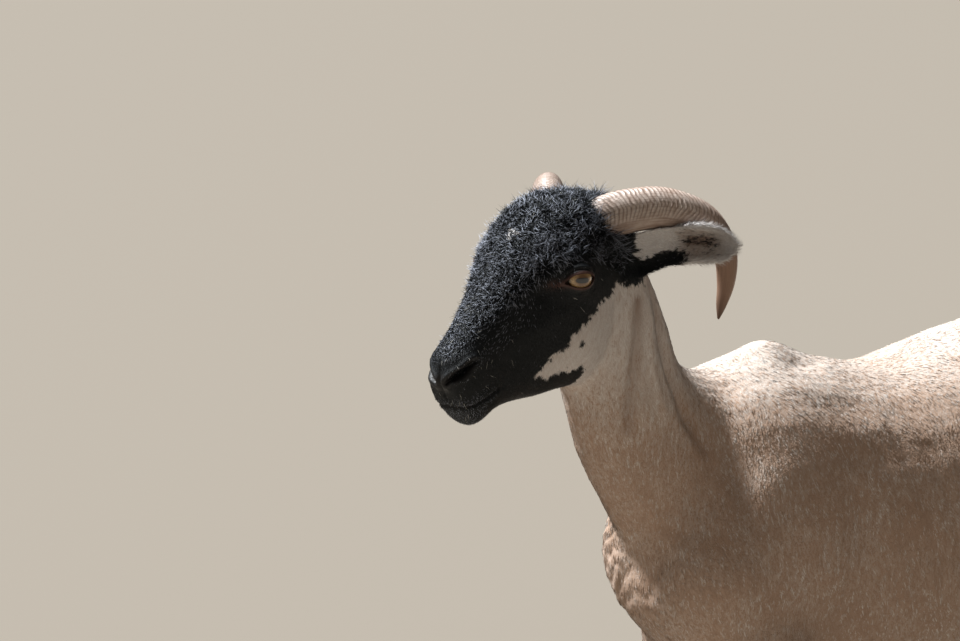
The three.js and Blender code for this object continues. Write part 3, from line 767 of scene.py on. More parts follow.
muzzle = ramp(-local[:, 0], 0.070, 0.100) * in_head
hair_length = share_of @ np.array([HAIR_LENGTH[k] for k in kinds])
hair_length += (0.0052 - hair_length) * deep_wool + (0.0021 - hair_length) * muzzle * (1 - woolly)
hair_length *= 1 - 0.6 * (1 - ramp(lid_distance, 0.004, 0.010))
hair_length *= np.interp(height, (0.02, 0.08), (0.7, 1.0))
lips = muzzle * (1 - ramp(above, 0.004, 0.016))
peaks = ramp(waves(local, 0.026, 61), 0.2, 1.4) * deep_wool
hair_length += 0.0055 * by_horn + 0.0024 * peaks + (0.0040 * ear_rim + 0.0016 * ear_fringe) * on_ear
hair_rise = 0.05 + 0.45 * woolly + 0.30 * deep_wool + 0.35 * peaks + 0.5 * by_horn + 0.45 * lips
hair_rise += 0.16 * on_ear + (0.7 * ear_rim + 0.4 * ear_fringe) * on_ear
hair_count = 1 - bare
bridge_line = np.interp(local[:, 0], (-0.12, 0), (-0.085, 0))
bridge = ramp(-local[:, 0], 0.02, 0.06) * ramp(local[:, 2] - bridge_line, -0.012, 0.004)
# Grey tips on the black hair: over the brow they are painted highlights; on the woolly poll, bridge, lips
# and muzzle partly grizzled grey hairs and partly painted glints.
brow_glint = np.exp(-(np.linalg.norm(sided - (-0.024, -0.045, 0.034), axis=1) / 0.022) ** 2) * in_head
grizzle = 0.03 + 0.60 * brow_glint + 0.34 * woolly + 0.40 * lips + 0.06 * muzzle + 0.25 * bridge * in_head

# Which piece of the coat covers each face of the hide.
COATS = ("fleece_front_left", "fleece_front_right", "fleece_rear_left", "fleece_rear_right", "neck_coat",
         "poll_wool_left", "poll_wool_right", "face_hair", "ear_hair", "leg_hair")
FLEECE_PARTING = 0.035             # the front and rear pieces of the fleece meet here
face_share = share_of[skin_faces].mean(1)
face_kind = np.array(kinds)[face_share.argmax(1)]
face_middle = skin_places[skin_faces].mean(1)
face_right = face_middle[:, 1] > 0
face_coat = np.where(face_middle[:, 0] < FLEECE_PARTING, 0, 2) + face_right
face_coat[face_kind == "neck"] = 4
face_coat[np.isin(face_kind, ("head", "lower_jaw", "eye"))] = 7
head_wool = (woolly[skin_faces].mean(1) > 0.4) & (face_coat == 7)
face_coat[head_wool] = 5 + (to_head(face_middle[head_wool])[:, 1] > 0)
face_coat[face_kind == "ear"] = 8
face_coat[np.isin(face_kind, ("forearm", "shank"))] = 9


def give(mesh, name, values):
    """Stores a number or a direction at each corner of the mesh."""
    values = np.asarray(values, float)
    kind, slot = ("FLOAT", "value") if values.ndim == 1 else ("FLOAT_VECTOR", "vector")
    mesh.attributes.new(name, kind, "POINT").data.foreach_set(slot, values.ravel())


def smooth_shaded(piece):
    piece.data.polygons.foreach_set("use_smooth", [True] * len(piece.data.polygons))
    return piece


skin.data.clear_geometry()
skin.data.from_pydata(skin_places.tolist(), [], skin_faces.tolist())
smooth_shaded(skin)
tints = {"dark": dark, "cool": cool, "tan": tan, "fold": fold}
for name, values in (tints | {"bare": bare, "pink": pink}).items():
    give(skin.data, name, values)

# Painted shade: the root colours of the wool and the black hair are darker, as shade down among the tufts.
WOOL_ROOT_SHADE, WOOL_TIP, COOL_WHITE = (0.62, 0.53, 0.465), (0.80, 0.74, 0.69), (0.80, 0.78, 0.775)
WOOL_BASE, COOL_BASE, BLACK_BASE = (0.74, 0.66, 0.59), (0.66, 0.62, 0.60), (0.0075, 0.009, 0.0115)
# Painted shade: the fold brown darkens the neck's folds and the ear's cup, as shade in them.
WOOL_TAN_AND_SHADE, FOLD_SHADE_BROWN = (0.46, 0.31, 0.225), (0.26, 0.155, 0.105)
TAN_AND_SHADE_SHARE = 0.72                   # the wool low on the body takes this much of the tan, partly its own colour and partly painted shade
BARE_SKIN, BARE_SHEEN, BARE_PINK = (0.007, 0.0065, 0.0068), (0.020, 0.0175, 0.017), (0.085, 0.036, 0.026)
# Painted highlights, partly real grey hair: the grey tip colour stands for glints on the black curls.
BLACK_ROOT_SHADE, BLACK_TIP, GREY_TIP_AND_GLINT = (0.0020, 0.0031, 0.0038), (0.0048, 0.0074, 0.0094), (0.46, 0.49, 0.58)


def add(tree, kind, inputs=None, **settings):
    """A node of a tree. Its inputs are given by name or number, as values or as other nodes' outputs."""
    node = tree.nodes.new(kind)
    for name, value in settings.items():
        setattr(node, name, value)
    for name, value in (inputs or {}).items():
        if isinstance(value, bpy.types.NodeSocket):
            tree.links.new(value, node.inputs[name])
        else:
            node.inputs[name].default_value = value
    return node


def sums(tree, operation, a, b=0.0, c=0.0):
    return add(tree, "ShaderNodeMath", {0: a, 1: b, 2: c}, operation=operation).outputs[0]


def mixed(tree, amount, a, b, how="MIX"):
    """A mix of two colours."""
    a, b = ((*c, 1) if isinstance(c, tuple) and len(c) == 3 else c for c in (a, b))
    return add(tree, "ShaderNodeMix", {0: amount, 6: a, 7: b}, data_type="RGBA", blend_type=how).outputs[2]


def ranged(tree, value, low, high, to_low=0.0, to_high=1.0):
    """A value taken from one range to another, and held inside it."""
    node = add(tree, "ShaderNodeMapRange", {0: value, 1: low, 2: high, 3: to_low, 4: to_high})
    return node.outputs[0]


def held(tree, name, output="Fac"):
    """The value of an attribute of the mesh, in a material."""
    return add(tree, "ShaderNodeAttribute", attribute_name=name).outputs[output]


def noise(tree, scale, stretch=(1, 1, 1), detail=3.0, roughness=0.55):
    """Noise on the piece's own coordinates. The scale is in features per metre."""
    place = add(tree, "ShaderNodeTexCoord").outputs["Object"]
    drawn = add(tree, "ShaderNodeMapping", {"Vector": place, "Scale": stretch}).outputs[0]
    made = {"Vector": drawn, "Scale": scale, "Detail": detail, "Roughness": roughness}
    return add(tree, "ShaderNodeTexNoise", made).outputs[0]


def new_material(name):
    """A material with its Principled shader, and the shader's tree."""
    material = bpy.data.materials.new(name)
    material.use_nodes = True
    tree = material.node_tree
    return material, tree, tree.nodes["Principled BSDF"]


def hide_material():
    material, tree, shader = new_material("hide")
    streaks = noise(tree, 330, (1, 1, 0.25))
    patches = noise(tree, 28)
    # Painted shade: the hide between the tufts is mixed from the darker root colours, as shade down among
    # them.
    wool = mixed(tree, ranged(tree, streaks, 0.3, 0.7), WOOL_ROOT_SHADE, WOOL_BASE)
    varying = ranged(tree, patches, 0.35, 0.7, 0.0, 0.3)
    # Partly the fleece's own tan and partly painted shade: the lower wool is browner.
    browner = sums(tree, "MULTIPLY_ADD", held(tree, "tan"), TAN_AND_SHADE_SHARE, varying)
    wool = mixed(tree, browner, wool, WOOL_TAN_AND_SHADE)
    wool = mixed(tree, sums(tree, "MULTIPLY", held(tree, "cool"), 0.8), wool, COOL_BASE)
    # Painted shade in the neck's folds and the ears' cups.
    wool = mixed(tree, sums(tree, "MULTIPLY", held(tree, "fold"), 0.75), wool, FOLD_SHADE_BROWN)
    black = mixed(tree, ranged(tree, noise(tree, 900), 0.45, 0.75), BLACK_ROOT_SHADE, BLACK_BASE)
    colour = mixed(tree, held(tree, "dark"), wool, black)
    bare_skin = mixed(tree, ranged(tree, noise(tree, 420), 0.4, 0.7), BARE_SKIN, BARE_SHEEN)
    colour = mixed(tree, held(tree, "bare"), colour, bare_skin)
    colour = mixed(tree, held(tree, "pink"), colour, BARE_PINK)
    tree.links.new(colour, shader.inputs["Base Color"])
    rough = sums(tree, "MULTIPLY_ADD", held(tree, "dark"), -0.25, 0.85)
    rough = sums(tree, "MULTIPLY_ADD", held(tree, "bare"), -0.12, rough)
    tree.links.new(rough, shader.inputs["Roughness"])
    shader.inputs["Specular IOR Level"].default_value = 0.35
    pores = add(tree, "ShaderNodeBump", {"Strength": 0.5, "Distance": 0.0006, "Height": noise(tree, 900)})
    folds = {"Strength": 0.35, "Distance": 0.0012, "Height": streaks, "Normal": pores.outputs[0]}
    tree.links.new(add(tree, "ShaderNodeBump", folds).outputs[0], shader.inputs["Normal"])
    return material


skin.data.materials.append(hide_material())
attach(skin, "root")
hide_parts(*flesh)

# ---------------------------------------------------------------- coat
# Short shorn wool on the body and neck, deeper black curls on the poll and brow, and close hair on the
# face, ears and legs. Each tuft is a small pointed lock of mesh, rooted on the hide and laid along it.

COAT_SEED = 11
STRAY_ROOT, STRAY_GREY, STRAY_WHITE = (0.2, 0.18, 0.16), (0.55, 0.53, 0.48), (0.82, 0.80, 0.74)


def tuft_tree(name, rings):
    """Locks spread over a piece of the hide: more where its count is higher, laid along its lie."""
    tree = bpy.data.node_groups.new(name, "GeometryNodeTree")
    sockets = tree.interface
    sockets.new_socket("Hide", in_out="INPUT", socket_type="NodeSocketGeometry")
    for label in ("Tufts per square metre", "Width", "Thickness", "Straying", "Curl"):
        sockets.new_socket(label, in_out="INPUT", socket_type="NodeSocketFloat")
    sockets.new_socket("Seed", in_out="INPUT", socket_type="NodeSocketInt")
    sockets.new_socket("Wool", in_out="INPUT", socket_type="NodeSocketMaterial")
    sockets.new_socket("Tufts", in_out="OUTPUT", socket_type="NodeSocketGeometry")
    given = add(tree, "NodeGroupInput").outputs

    def named(label, kind="FLOAT"):
        return add(tree, "GeometryNodeInputNamedAttribute", {"Name": label}, data_type=kind).outputs[0]

    def vectors(operation, a, b=(0, 0, 0), scale=1.0):
        return add(tree, "ShaderNodeVectorMath", {0: a, 1: b, 3: scale}, operation=operation).outputs[0]

    def drawn(low, high, more):
        seed = sums(tree, "ADD", given["Seed"], more)
        return add(tree, "FunctionNodeRandomValue", {2: low, 3: high, 8: seed}, data_type="FLOAT").outputs[1]

    def drawn_way(more):
        seed = sums(tree, "ADD", given["Seed"], more)
        made = {0: (-1, -1, -1), 1: (1, 1, 1), 8: seed}
        return add(tree, "FunctionNodeRandomValue", made, data_type="FLOAT_VECTOR").outputs[0]

    def stored(geometry, label, value, kind="FLOAT"):
        made = {"Geometry": geometry, "Name": label, "Value": value}
        return add(tree, "GeometryNodeStoreNamedAttribute", made, data_type=kind, domain="POINT").outputs[0]

    count = sums(tree, "MULTIPLY", given["Tufts per square metre"], named("count"))
    spread = add(tree, "GeometryNodeDistributePointsOnFaces",
                 {"Mesh": given["Hide"], "Density": count, "Seed": given["Seed"]},
                 distribute_method="RANDOM")
    normal = spread.outputs["Normal"]
    place = add(tree, "GeometryNodeInputPosition").outputs[0]
    length = sums(tree, "MULTIPLY", named("length"), drawn(0.65, 1.3, 1))
    stray = vectors("SCALE", drawn_way(2), scale=given["Straying"])
    heading = vectors("ADD", named("lie", "FLOAT_VECTOR"), stray)
    heading = vectors("ADD", heading, vectors("SCALE", normal, scale=named("rise")))
    curl = vectors("ADD", vectors("SCALE", drawn_way(3), scale=0.8), vectors("SCALE", normal, scale=-0.5))
    bend = vectors("SCALE", curl, scale=sums(tree, "MULTIPLY", length, given["Curl"]))
    points = stored(spread.outputs["Points"], "root", place, "FLOAT_VECTOR")
    points = stored(points, "bend", bend, "FLOAT_VECTOR")
    points = stored(points, "tone", drawn(0.0, 1.0, 4))
    width = sums(tree, "MULTIPLY", given["Width"], drawn(0.7, 1.3, 5))
    cone = add(tree, "GeometryNodeMeshCone", {"Vertices": 3, "Side Segments": rings, "Radius Top": 0.0,
                                              "Radius Bottom": 0.5, "Depth": 1.0})
    along = add(tree, "ShaderNodeSeparateXYZ", {0: place}).outputs[2]
    lock = stored(cone.outputs["Mesh"], "along", along)
    inward = vectors("SCALE", normal, scale=-1.0)
    turned = add(tree, "FunctionNodeAxesToRotation",
                 {"Primary Axis": heading, "Secondary Axis": inward}, primary_axis="Z", secondary_axis="X")
    size = add(tree, "ShaderNodeCombineXYZ", {0: given["Thickness"], 1: width, 2: length}).outputs[0]
    on_points = {"Points": points, "Instance": lock, "Rotation": turned.outputs[0], "Scale": size}
    locks = add(tree, "GeometryNodeInstanceOnPoints", on_points).outputs[0]
    locks = add(tree, "GeometryNodeRealizeInstances", {0: locks}).outputs[0]
    bent = vectors("SCALE", named("bend", "FLOAT_VECTOR"), scale=sums(tree, "POWER", named("along"), 2.0))
    locks = add(tree, "GeometryNodeSetPosition", {"Geometry": locks, "Offset": bent}).outputs[0]
    locks = add(tree, "GeometryNodeSetMaterial", {"Geometry": locks, "Material": given["Wool"]}).outputs[0]
    add(tree, "NodeGroupOutput", {"Tufts": locks})
    return tree


# The flattened hide: each part is unwrapped round its own axis into its own field of the map.
# Middle, axis, the way that faces the middle of the field, and the field's corner and size.
head_back = head_turn @ np.array((0.83, 0, 0.55))
ear_ways = [ear_axis @ head_turn.T, (ear_axis * (1, -1, 1)) @ head_turn.T]
ear_middles = [from_head((EAR_ROOT + EAR_TIP) / 2), from_head(((EAR_ROOT + EAR_TIP) / 2) * (1, -1, 1))]
leg_boxes = [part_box(f"shank_{end}_{side}") for end in ("front", "hind") for side in ("left", "right")]
FIELDS = [
    ((0, 0, 0.52), (1, 0, 0), (0, 0, 1), (0.01, 0.01), (0.58, 0.48)),                   # trunk
    ((-0.19, -0.015, 0.60), (-0.35, -0.1, 0.93), (0, -1, 0), (0.61, 0.01), (0.38, 0.22)),  # neck
    (from_head((0, 0, -0.03)), head_back, (0, 0, 1), (0.61, 0.25), (0.38, 0.30)),       # head
    ((0.455, 0, 0.5), (0, 0, -1), (1, 0, 0), (0.61, 0.58), (0.12, 0.20)),               # tail
    (ear_middles[0], ear_ways[0], head_turn @ ear_facing, (0.75, 0.58), (0.11, 0.20)),
    (ear_middles[1], ear_ways[1], head_turn @ ear_facing, (0.88, 0.58), (0.11, 0.20)),
] + [((*((low + high) / 2)[:2], 0), (0, 0, 1), (-1, 0, 0), (0.01 + 0.145 * k, 0.51), (0.135, 0.30))
     for k, (low, high) in enumerate(np.array(box) for box in leg_boxes)]
PATCH = 0.003                      # each tuft's own patch of the map is this far across

face_field = np.zeros(len(face_middle))
face_field[face_kind == "neck"] = 1
face_field[np.isin(face_kind, ("head", "lower_jaw", "eye"))] = 2
face_field[face_kind == "tail"] = 3
face_field[face_kind == "ear"] = 4 + (to_head(face_middle[face_kind == "ear"])[:, 1] > 0)
on_leg = np.isin(face_kind, ("forearm", "thigh", "shank"))
face_field[on_leg] = 6 + 2 * (face_middle[on_leg, 0] > 0) + face_right[on_leg]


def on_field(points, number):
    """How far round a field's axis each point lies, from 0 to 1, and how far along it, in metres."""
    middle, axis, facing, _, _ = FIELDS[number]
    axis = unit(axis)
    facing = unit(np.array(facing) - axis * (axis @ np.array(facing)))
    away = points - np.array(middle)
    turn = np.arctan2(away @ np.cross(axis, facing), away @ facing)
    return np.stack([turn / (2 * np.pi) + 0.5, away @ axis], 1)


field_ends = []
for number in range(len(FIELDS)):
    along = on_field(face_middle[face_field == number], number)[:, 1]
    field_ends.append((along.min() - 0.005, along.max() + 0.005))


def unwrapped(points, fields):
    """The places of the points on the flattened hide."""
    flat = np.zeros((len(points), 2))
    for number, (low, high) in enumerate(field_ends):
        here = fields == number
        place = on_field(points[here], number)
        place[:, 1] = (place[:, 1] - low) / (high - low)
        flat[here] = np.array(FIELDS[number][3]) + place * FIELDS[number][4]
    return flat


def read(mesh, name):
    """The values of an attribute of the mesh."""
    data = mesh.attributes[name]
    vector = data.data_type == "FLOAT_VECTOR"
    values = np.empty(len(data.data) * (3 if vector else 1))
    data.data.foreach_get("vector" if vector else "value", values)
    return values.reshape(-1, 3) if vector else values


def give_tuft_map(mesh, rings):
    """Lays each tuft out as a small patch round its root's place on the flattened hide."""
    each = 3 * rings + 1
    round_lock = np.arange(len(mesh.vertices)) % each % 3 * 2 * np.pi / 3
    reach = 0.5 * PATCH * (1 - read(mesh, "along"))
    flat = unwrapped(read(mesh, "root"), np.round(read(mesh, "field")))
    flat += np.stack([np.cos(round_lock), np.sin(round_lock)], 1) * reach[:, None]
    corners = np.empty(len(mesh.loops), int)
    mesh.loops.foreach_get("vertex_index", corners)
    mesh.uv_layers.new(name="OFBake").data.foreach_set("uv", flat[corners].ravel())


coat_corner = tints | {"grizzle": grizzle, "lie": lie, "out": skin_normals, "length": hair_length,
                       "rise": hair_rise, "count": hair_count}


def softly_shaded(mesh, softness):
    """Turns the tufts' shading towards the hide's own, so that short wool looks like a nap."""
    own = np.empty(len(mesh.vertices) * 3)
    mesh.vertices.foreach_get("normal", own)
    ways = unit(own.reshape(-1, 3) * (1 - softness) + unit(read(mesh, "out")) * softness)
    mesh.normals_split_custom_set_from_vertices(ways.tolist())


def coat_piece(name, tree, rings, material, slot, softness=0.5, **sizes):
    """One piece of the coat, grown on the faces of the hide that are its own."""
    chosen = face_coat == COATS.index(name) if name in COATS else np.isin(face_coat, (5, 6, 7))
    used, faces = np.unique(skin_faces[chosen].reshape(-1), return_inverse=True)
    piece = new_mesh(name, skin_places[used], faces.reshape(-1, 3))
    for label, values in coat_corner.items():
        give(piece.data, label, values[used])
    piece.data.attributes.new("field", "FLOAT", "FACE").data.foreach_set("value", face_field[chosen])
    tufts = piece.modifiers.new("tufts", "NODES")
    tufts.node_group = tree
    inputs = {item.name: item.identifier for item in tree.interface.items_tree if item.in_out == "INPUT"}
    for label, value in sizes.items():
        tufts[inputs[label.replace("_", " ").capitalize()]] = value
    tufts[inputs["Seed"]] = COAT_SEED + 10 * int(face_coat[chosen].min())
    tufts[inputs["Wool"]] = material
    finished(piece)
    give_tuft_map(piece.data, rings)
    smooth_shaded(piece)
    softly_shaded(piece.data, softness)
    for label in ("root", "bend", "lie", "out", "length", "rise", "count", "field"):
        piece.data.attributes.remove(piece.data.attributes[label])
    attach(piece, "root")
    return piece


def coat_material(name, glint_share):
    """Wool and hair: painted darker towards the root as shade among the tufts, each tuft of its own tone,
    black where the marking is.
    """
    material, tree, shader = new_material(name)
    along, tone = held(tree, "along"), held(tree, "tone")
    streaks = noise(tree, 300, (1, 1, 0.25))
    wool = mixed(tree, ranged(tree, along, -0.2, 0.8), WOOL_ROOT_SHADE, WOOL_TIP)
    varying = ranged(tree, tone, 0.1, 1.0, -0.22, 0.40)
    # Partly the fleece's own tan and partly painted shade: the lower wool is browner.
    browner = sums(tree, "MULTIPLY_ADD", held(tree, "tan"), TAN_AND_SHADE_SHARE, varying)
    browner = sums(tree, "ADD", browner, ranged(tree, streaks, 0.38, 0.62, -0.40, 0.70))
    browner = sums(tree, "ADD", browner, ranged(tree, noise(tree, 20), 0.40, 0.65, -0.10, 0.22))
    wool = mixed(tree, browner, wool, WOOL_TAN_AND_SHADE)
    wool = mixed(tree, sums(tree, "MULTIPLY", held(tree, "cool"), 0.85), wool, COOL_WHITE)
    # Painted shade in the neck's folds and the ears' cups.
    wool = mixed(tree, sums(tree, "MULTIPLY", held(tree, "fold"), 0.82), wool, FOLD_SHADE_BROWN)
    black = mixed(tree, ranged(tree, along, 0.1, 1.0), BLACK_ROOT_SHADE, BLACK_TIP)
    # Painted highlights, partly real grey hair: some tufts' tips are turned grey, more where the grizzle is
    # higher.
    light = sums(tree, "SUBTRACT", tone, sums(tree, "SUBTRACT", 1.0, held(tree, "grizzle")))
    grey_and_glint = sums(tree, "MULTIPLY", ranged(tree, light, 0.0, 0.05), ranged(tree, along, 0.25, 0.9))
    black = mixed(tree, sums(tree, "MULTIPLY", grey_and_glint, glint_share), black, GREY_TIP_AND_GLINT)
    marked = sums(tree, "MULTIPLY_ADD", sums(tree, "SUBTRACT", tone, 0.5), 0.5, held(tree, "dark"))
    marked = ranged(tree, marked, 0.42, 0.58)
    tree.links.new(mixed(tree, marked, wool, black), shader.inputs["Base Color"])
    tree.links.new(ranged(tree, marked, 0, 1, 0.88, 0.50), shader.inputs["Roughness"])
    shader.inputs["Specular IOR Level"].default_value = 0.22
    return material


def stray_material():
    material, tree, shader = new_material("stray_hair")
    pale = mixed(tree, held(tree, "tone"), STRAY_GREY, STRAY_WHITE)
    colour = mixed(tree, ranged(tree, held(tree, "along"), 0.0, 0.3), STRAY_ROOT, pale)
    tree.links.new(colour, shader.inputs["Base Color"])
    shader.inputs["Roughness"].default_value = 0.45
    return material


short_locks = tuft_tree("short_locks", 1)
long_locks = tuft_tree("long_locks", 2)
wool_material = coat_material("wool", 0.5)
hair_material = coat_material("dark_hair", 1.0)

for name in COATS[:4]:
    coat_piece(name, short_locks, 1, wool_material, "wool", tufts_per_square_metre=195000.0,
               width=0.0016, thickness=0.0006, straying=0.12, curl=0.1, softness=0.75)
coat_piece("neck_coat", short_locks, 1, wool_material, "wool", tufts_per_square_metre=330000.0,
           width=0.0011, thickness=0.0004, straying=0.11, curl=0.08, softness=0.65)
for name in COATS[5:7]:
    coat_piece(name, long_locks, 2, hair_material, "dark_hair", tufts_per_square_metre=1100000.0,
               width=0.0011, thickness=0.0007, straying=0.75, curl=1.2, softness=0.2)
coat_piece("face_hair", short_locks, 1, hair_material, "dark_hair", tufts_per_square_metre=900000.0,
           width=0.0006, thickness=0.00035, straying=0.18, curl=0.15)
coat_piece("ear_hair", short_locks, 1, hair_material, "dark_hair", tufts_per_square_metre=1200000.0,
           width=0.0007, thickness=0.0004, straying=0.28, curl=0.2, softness=0.3)
coat_piece("leg_hair", short_locks, 1, wool_material, "wool", tufts_per_square_metre=250000.0,
           width=0.0010, thickness=0.0006, straying=0.14, curl=0.1)

# A few long pale hairs stray over the muzzle, cheek and brow.
coat_corner["count"] = hair_count * (0.3 + muzzle + 0.5 * ramp(-lid_distance, -0.02, -0.008))
coat_corner["length"] = np.full(len(skin_places), 0.0065)
coat_corner["rise"] = hair_rise + 0.25
coat_piece("stray_hairs", long_locks, 2, stray_material(), "dark_hair", tufts_per_square_metre=4500.0,
           width=0.00028, thickness=0.00028, straying=0.6, curl=0.4)

# ---------------------------------------------------------------- eyes
# Amber eyeballs with a wide dark pupil lying level, behind the lids. Each is one closed ball, with the
# clear front swelling out of it, and a wet gloss.

IRIS_RADIUS = 0.0112
PUPIL_HALF = (0.0064, 0.0026)
CORNEA_RISE = 0.0011
IRIS_BROWN, IRIS_AMBER, IRIS_INNER = (0.26, 0.135, 0.045), (0.66, 0.45, 0.20), (0.17, 0.085, 0.030)
IRIS_EDGE, PUPIL_BLACK = (0.03, 0.016, 0.008), (0.006, 0.007, 0.010)
BALL_BLACK, BALL_BROWN = (0.012, 0.008, 0.006), (0.10, 0.07, 0.05)


def ring_faces(rings, count, first_pole, last_pole):
    """Faces between rings of corners, closed at both ends by a pole."""
    faces = []
    for r in range(rings - 1):
        for k in range(count):
            a, b = r * count + k, r * count + (k + 1) % count
            faces.append((a, b, b + count, a + count))
    last = (rings - 1) * count
    for k in range(count):
        faces.append((first_pole, (k + 1) % count, k))
        faces.append((last_pole, last + k, last + (k + 1) % count))
    return faces


def eye_material():
    material, tree, shader = new_material("eye")
    place = add(tree, "ShaderNodeSeparateXYZ", {0: held(tree, "seen", "Vector")}).outputs
    seen = held(tree, "seen", "Vector")
    away = add(tree, "ShaderNodeVectorMath", {0: seen}, operation="LENGTH").outputs[1]
    across = sums(tree, "POWER", sums(tree, "DIVIDE", sums(tree, "ABSOLUTE", place[0]), PUPIL_HALF[0]), 2.6)
    upward = sums(tree, "POWER", sums(tree, "DIVIDE", sums(tree, "ABSOLUTE", place[1]), PUPIL_HALF[1]), 2.2)
    pupil = ranged(tree, sums(tree, "ADD", across, upward), 1.25, 0.80)
    turn = sums(tree, "ARCTAN2", place[1], place[0])
    spoke = add(tree, "ShaderNodeCombineXYZ", {0: sums(tree, "COSINE", turn), 1: sums(tree, "SINE", turn),
                                               2: sums(tree, "MULTIPLY", away, 60.0)}).outputs[0]
    fibres = add(tree, "ShaderNodeTexNoise", {"Vector": spoke, "Scale": 9.0, "Detail": 4.0}).outputs[0]
    iris = mixed(tree, ranged(tree, fibres, 0.35, 0.68), IRIS_BROWN, IRIS_AMBER)
    iris = mixed(tree, ranged(tree, away, 0.0045, 0.0085), IRIS_INNER, iris)
    iris = mixed(tree, ranged(tree, away, IRIS_RADIUS - 0.0016, IRIS_RADIUS), iris, IRIS_EDGE)
    ball = mixed(tree, ranged(tree, away, IRIS_RADIUS + 0.0004, IRIS_RADIUS + 0.003), BALL_BLACK, BALL_BROWN)
    colour = mixed(tree, ranged(tree, away, IRIS_RADIUS - 0.0002, IRIS_RADIUS + 0.0003), iris, ball)
    colour = mixed(tree, pupil, colour, PUPIL_BLACK)
    tree.links.new(colour, shader.inputs["Base Color"])
    shader.inputs["Roughness"].default_value = 0.28
    shader.inputs["Coat Weight"].default_value = 1.0
    shader.inputs["Coat Roughness"].default_value = 0.03
    return material


eye_finish = eye_material()
EYE_RINGS, EYE_ROUND = 72, 96
tilt = np.linspace(0, np.pi, EYE_RINGS + 2)[1:-1]
for side, flip in SIDES.items():
    swell = EYE_RADIUS + CORNEA_RISE * np.exp(-(tilt / 0.62) ** 4)
    turn = np.arange(EYE_ROUND) * 2 * np.pi / EYE_ROUND
    wide, deep = np.sin(tilt) * swell, np.cos(tilt) * swell
    seen = np.stack([np.outer(wide, np.cos(turn)), np.outer(wide, np.sin(turn)),
                     np.outer(deep, np.ones(EYE_ROUND))], 2).reshape(-1, 3)
    seen = np.concatenate([seen, [(0, 0, swell[0]), (0, 0, -EYE_RADIUS)]])
    faces = ring_faces(EYE_RINGS, EYE_ROUND, len(seen) - 2, len(seen) - 1)
    ball = new_mesh(f"eyeball_{side}", from_head(from_eye(seen, flip)), faces)
    give(ball.data, "seen", np.where(seen[:, 2:] > 0, seen * (1, 1, 0), seen * (0, 0, 9)))
    ball.data.materials.append(eye_finish)
    smooth_shaded(ball)
    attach(ball, "root")
    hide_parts(f"eye_{side}")

# ---------------------------------------------------------------- horns
# Two horns of pale pinkish horn curve back and down from the poll, one closed sheath each, with growth
# ridges round the upper and outer side and a smooth darker point.

# Middle of the horn in the head's frame, and half its depth.
HORN_ROWS = np.array([
    (36, -22, 27, 13), (60, -34, 47, 20), (92, -61, 55.5, 20), (113, -80, 52.5, 18.5), (130, -94, 43, 16.5),
    (142, -103, 27, 14), (148, -108, 7, 11), (145, -110.5, -15, 8.5), (137, -112, -34, 5),
    (131, -113.5, -46, 1.2)]) / 1000
HORN_SIDE = np.array((-0.55, -0.83, 0.1))
HORN_FLATNESS = 0.77
HORN_RINGS, HORN_ROUND = 300, 64
RIDGE_SETTINGS = (("Ridges", 60.0), ("Height", 0.0010), ("Slant", 6.0), ("Wander", 2.4))
RIDGE_MIDDLE, UPPER_MIDDLE = 1.35, 0.62    # where the ridges come to a point, and the middle of their side
# Painted shade: the groove colour darkens the hollows between the growth ridges.
HORN_PALE, HORN_PINK, HORN_GROOVE_SHADE = (0.50, 0.390, 0.325), (0.68, 0.575, 0.51), (0.135, 0.075, 0.050)
# The colour of the unridged side is partly the horn's own brown and partly painted shade.
HORN_STREAK, HORN_BROWN_AND_SHADE, HORN_STAIN = (0.24, 0.145, 0.10), (0.30, 0.205, 0.16), (0.33, 0.215, 0.16)
HORN_OUTER, HORN_FIBRE, HORN_POINT = (0.36, 0.215, 0.145), (0.15, 0.085, 0.058), (0.16, 0.09, 0.06)


def through(rows, count):
    """Places evenly spaced on a smooth curve through the rows."""
    rows = np.concatenate([[2 * rows[0] - rows[1]], rows, [2 * rows[-1] - rows[-2]]])
    out = []
    for k in range(1, len(rows) - 2):
        t = np.linspace(0, 1, 40, endpoint=False)[:, None]
        out.append(curve_between(*rows[k - 1:k + 3], t))
    out = np.concatenate(out + [rows[-2:-1]])
    run = np.concatenate([[0], np.cumsum(np.linalg.norm(np.diff(out[:, :3], axis=0), axis=1))])
    at = np.linspace(0, run[-1], count)
    return np.stack([np.interp(at, run, out[:, k]) for k in range(out.shape[1])], 1)


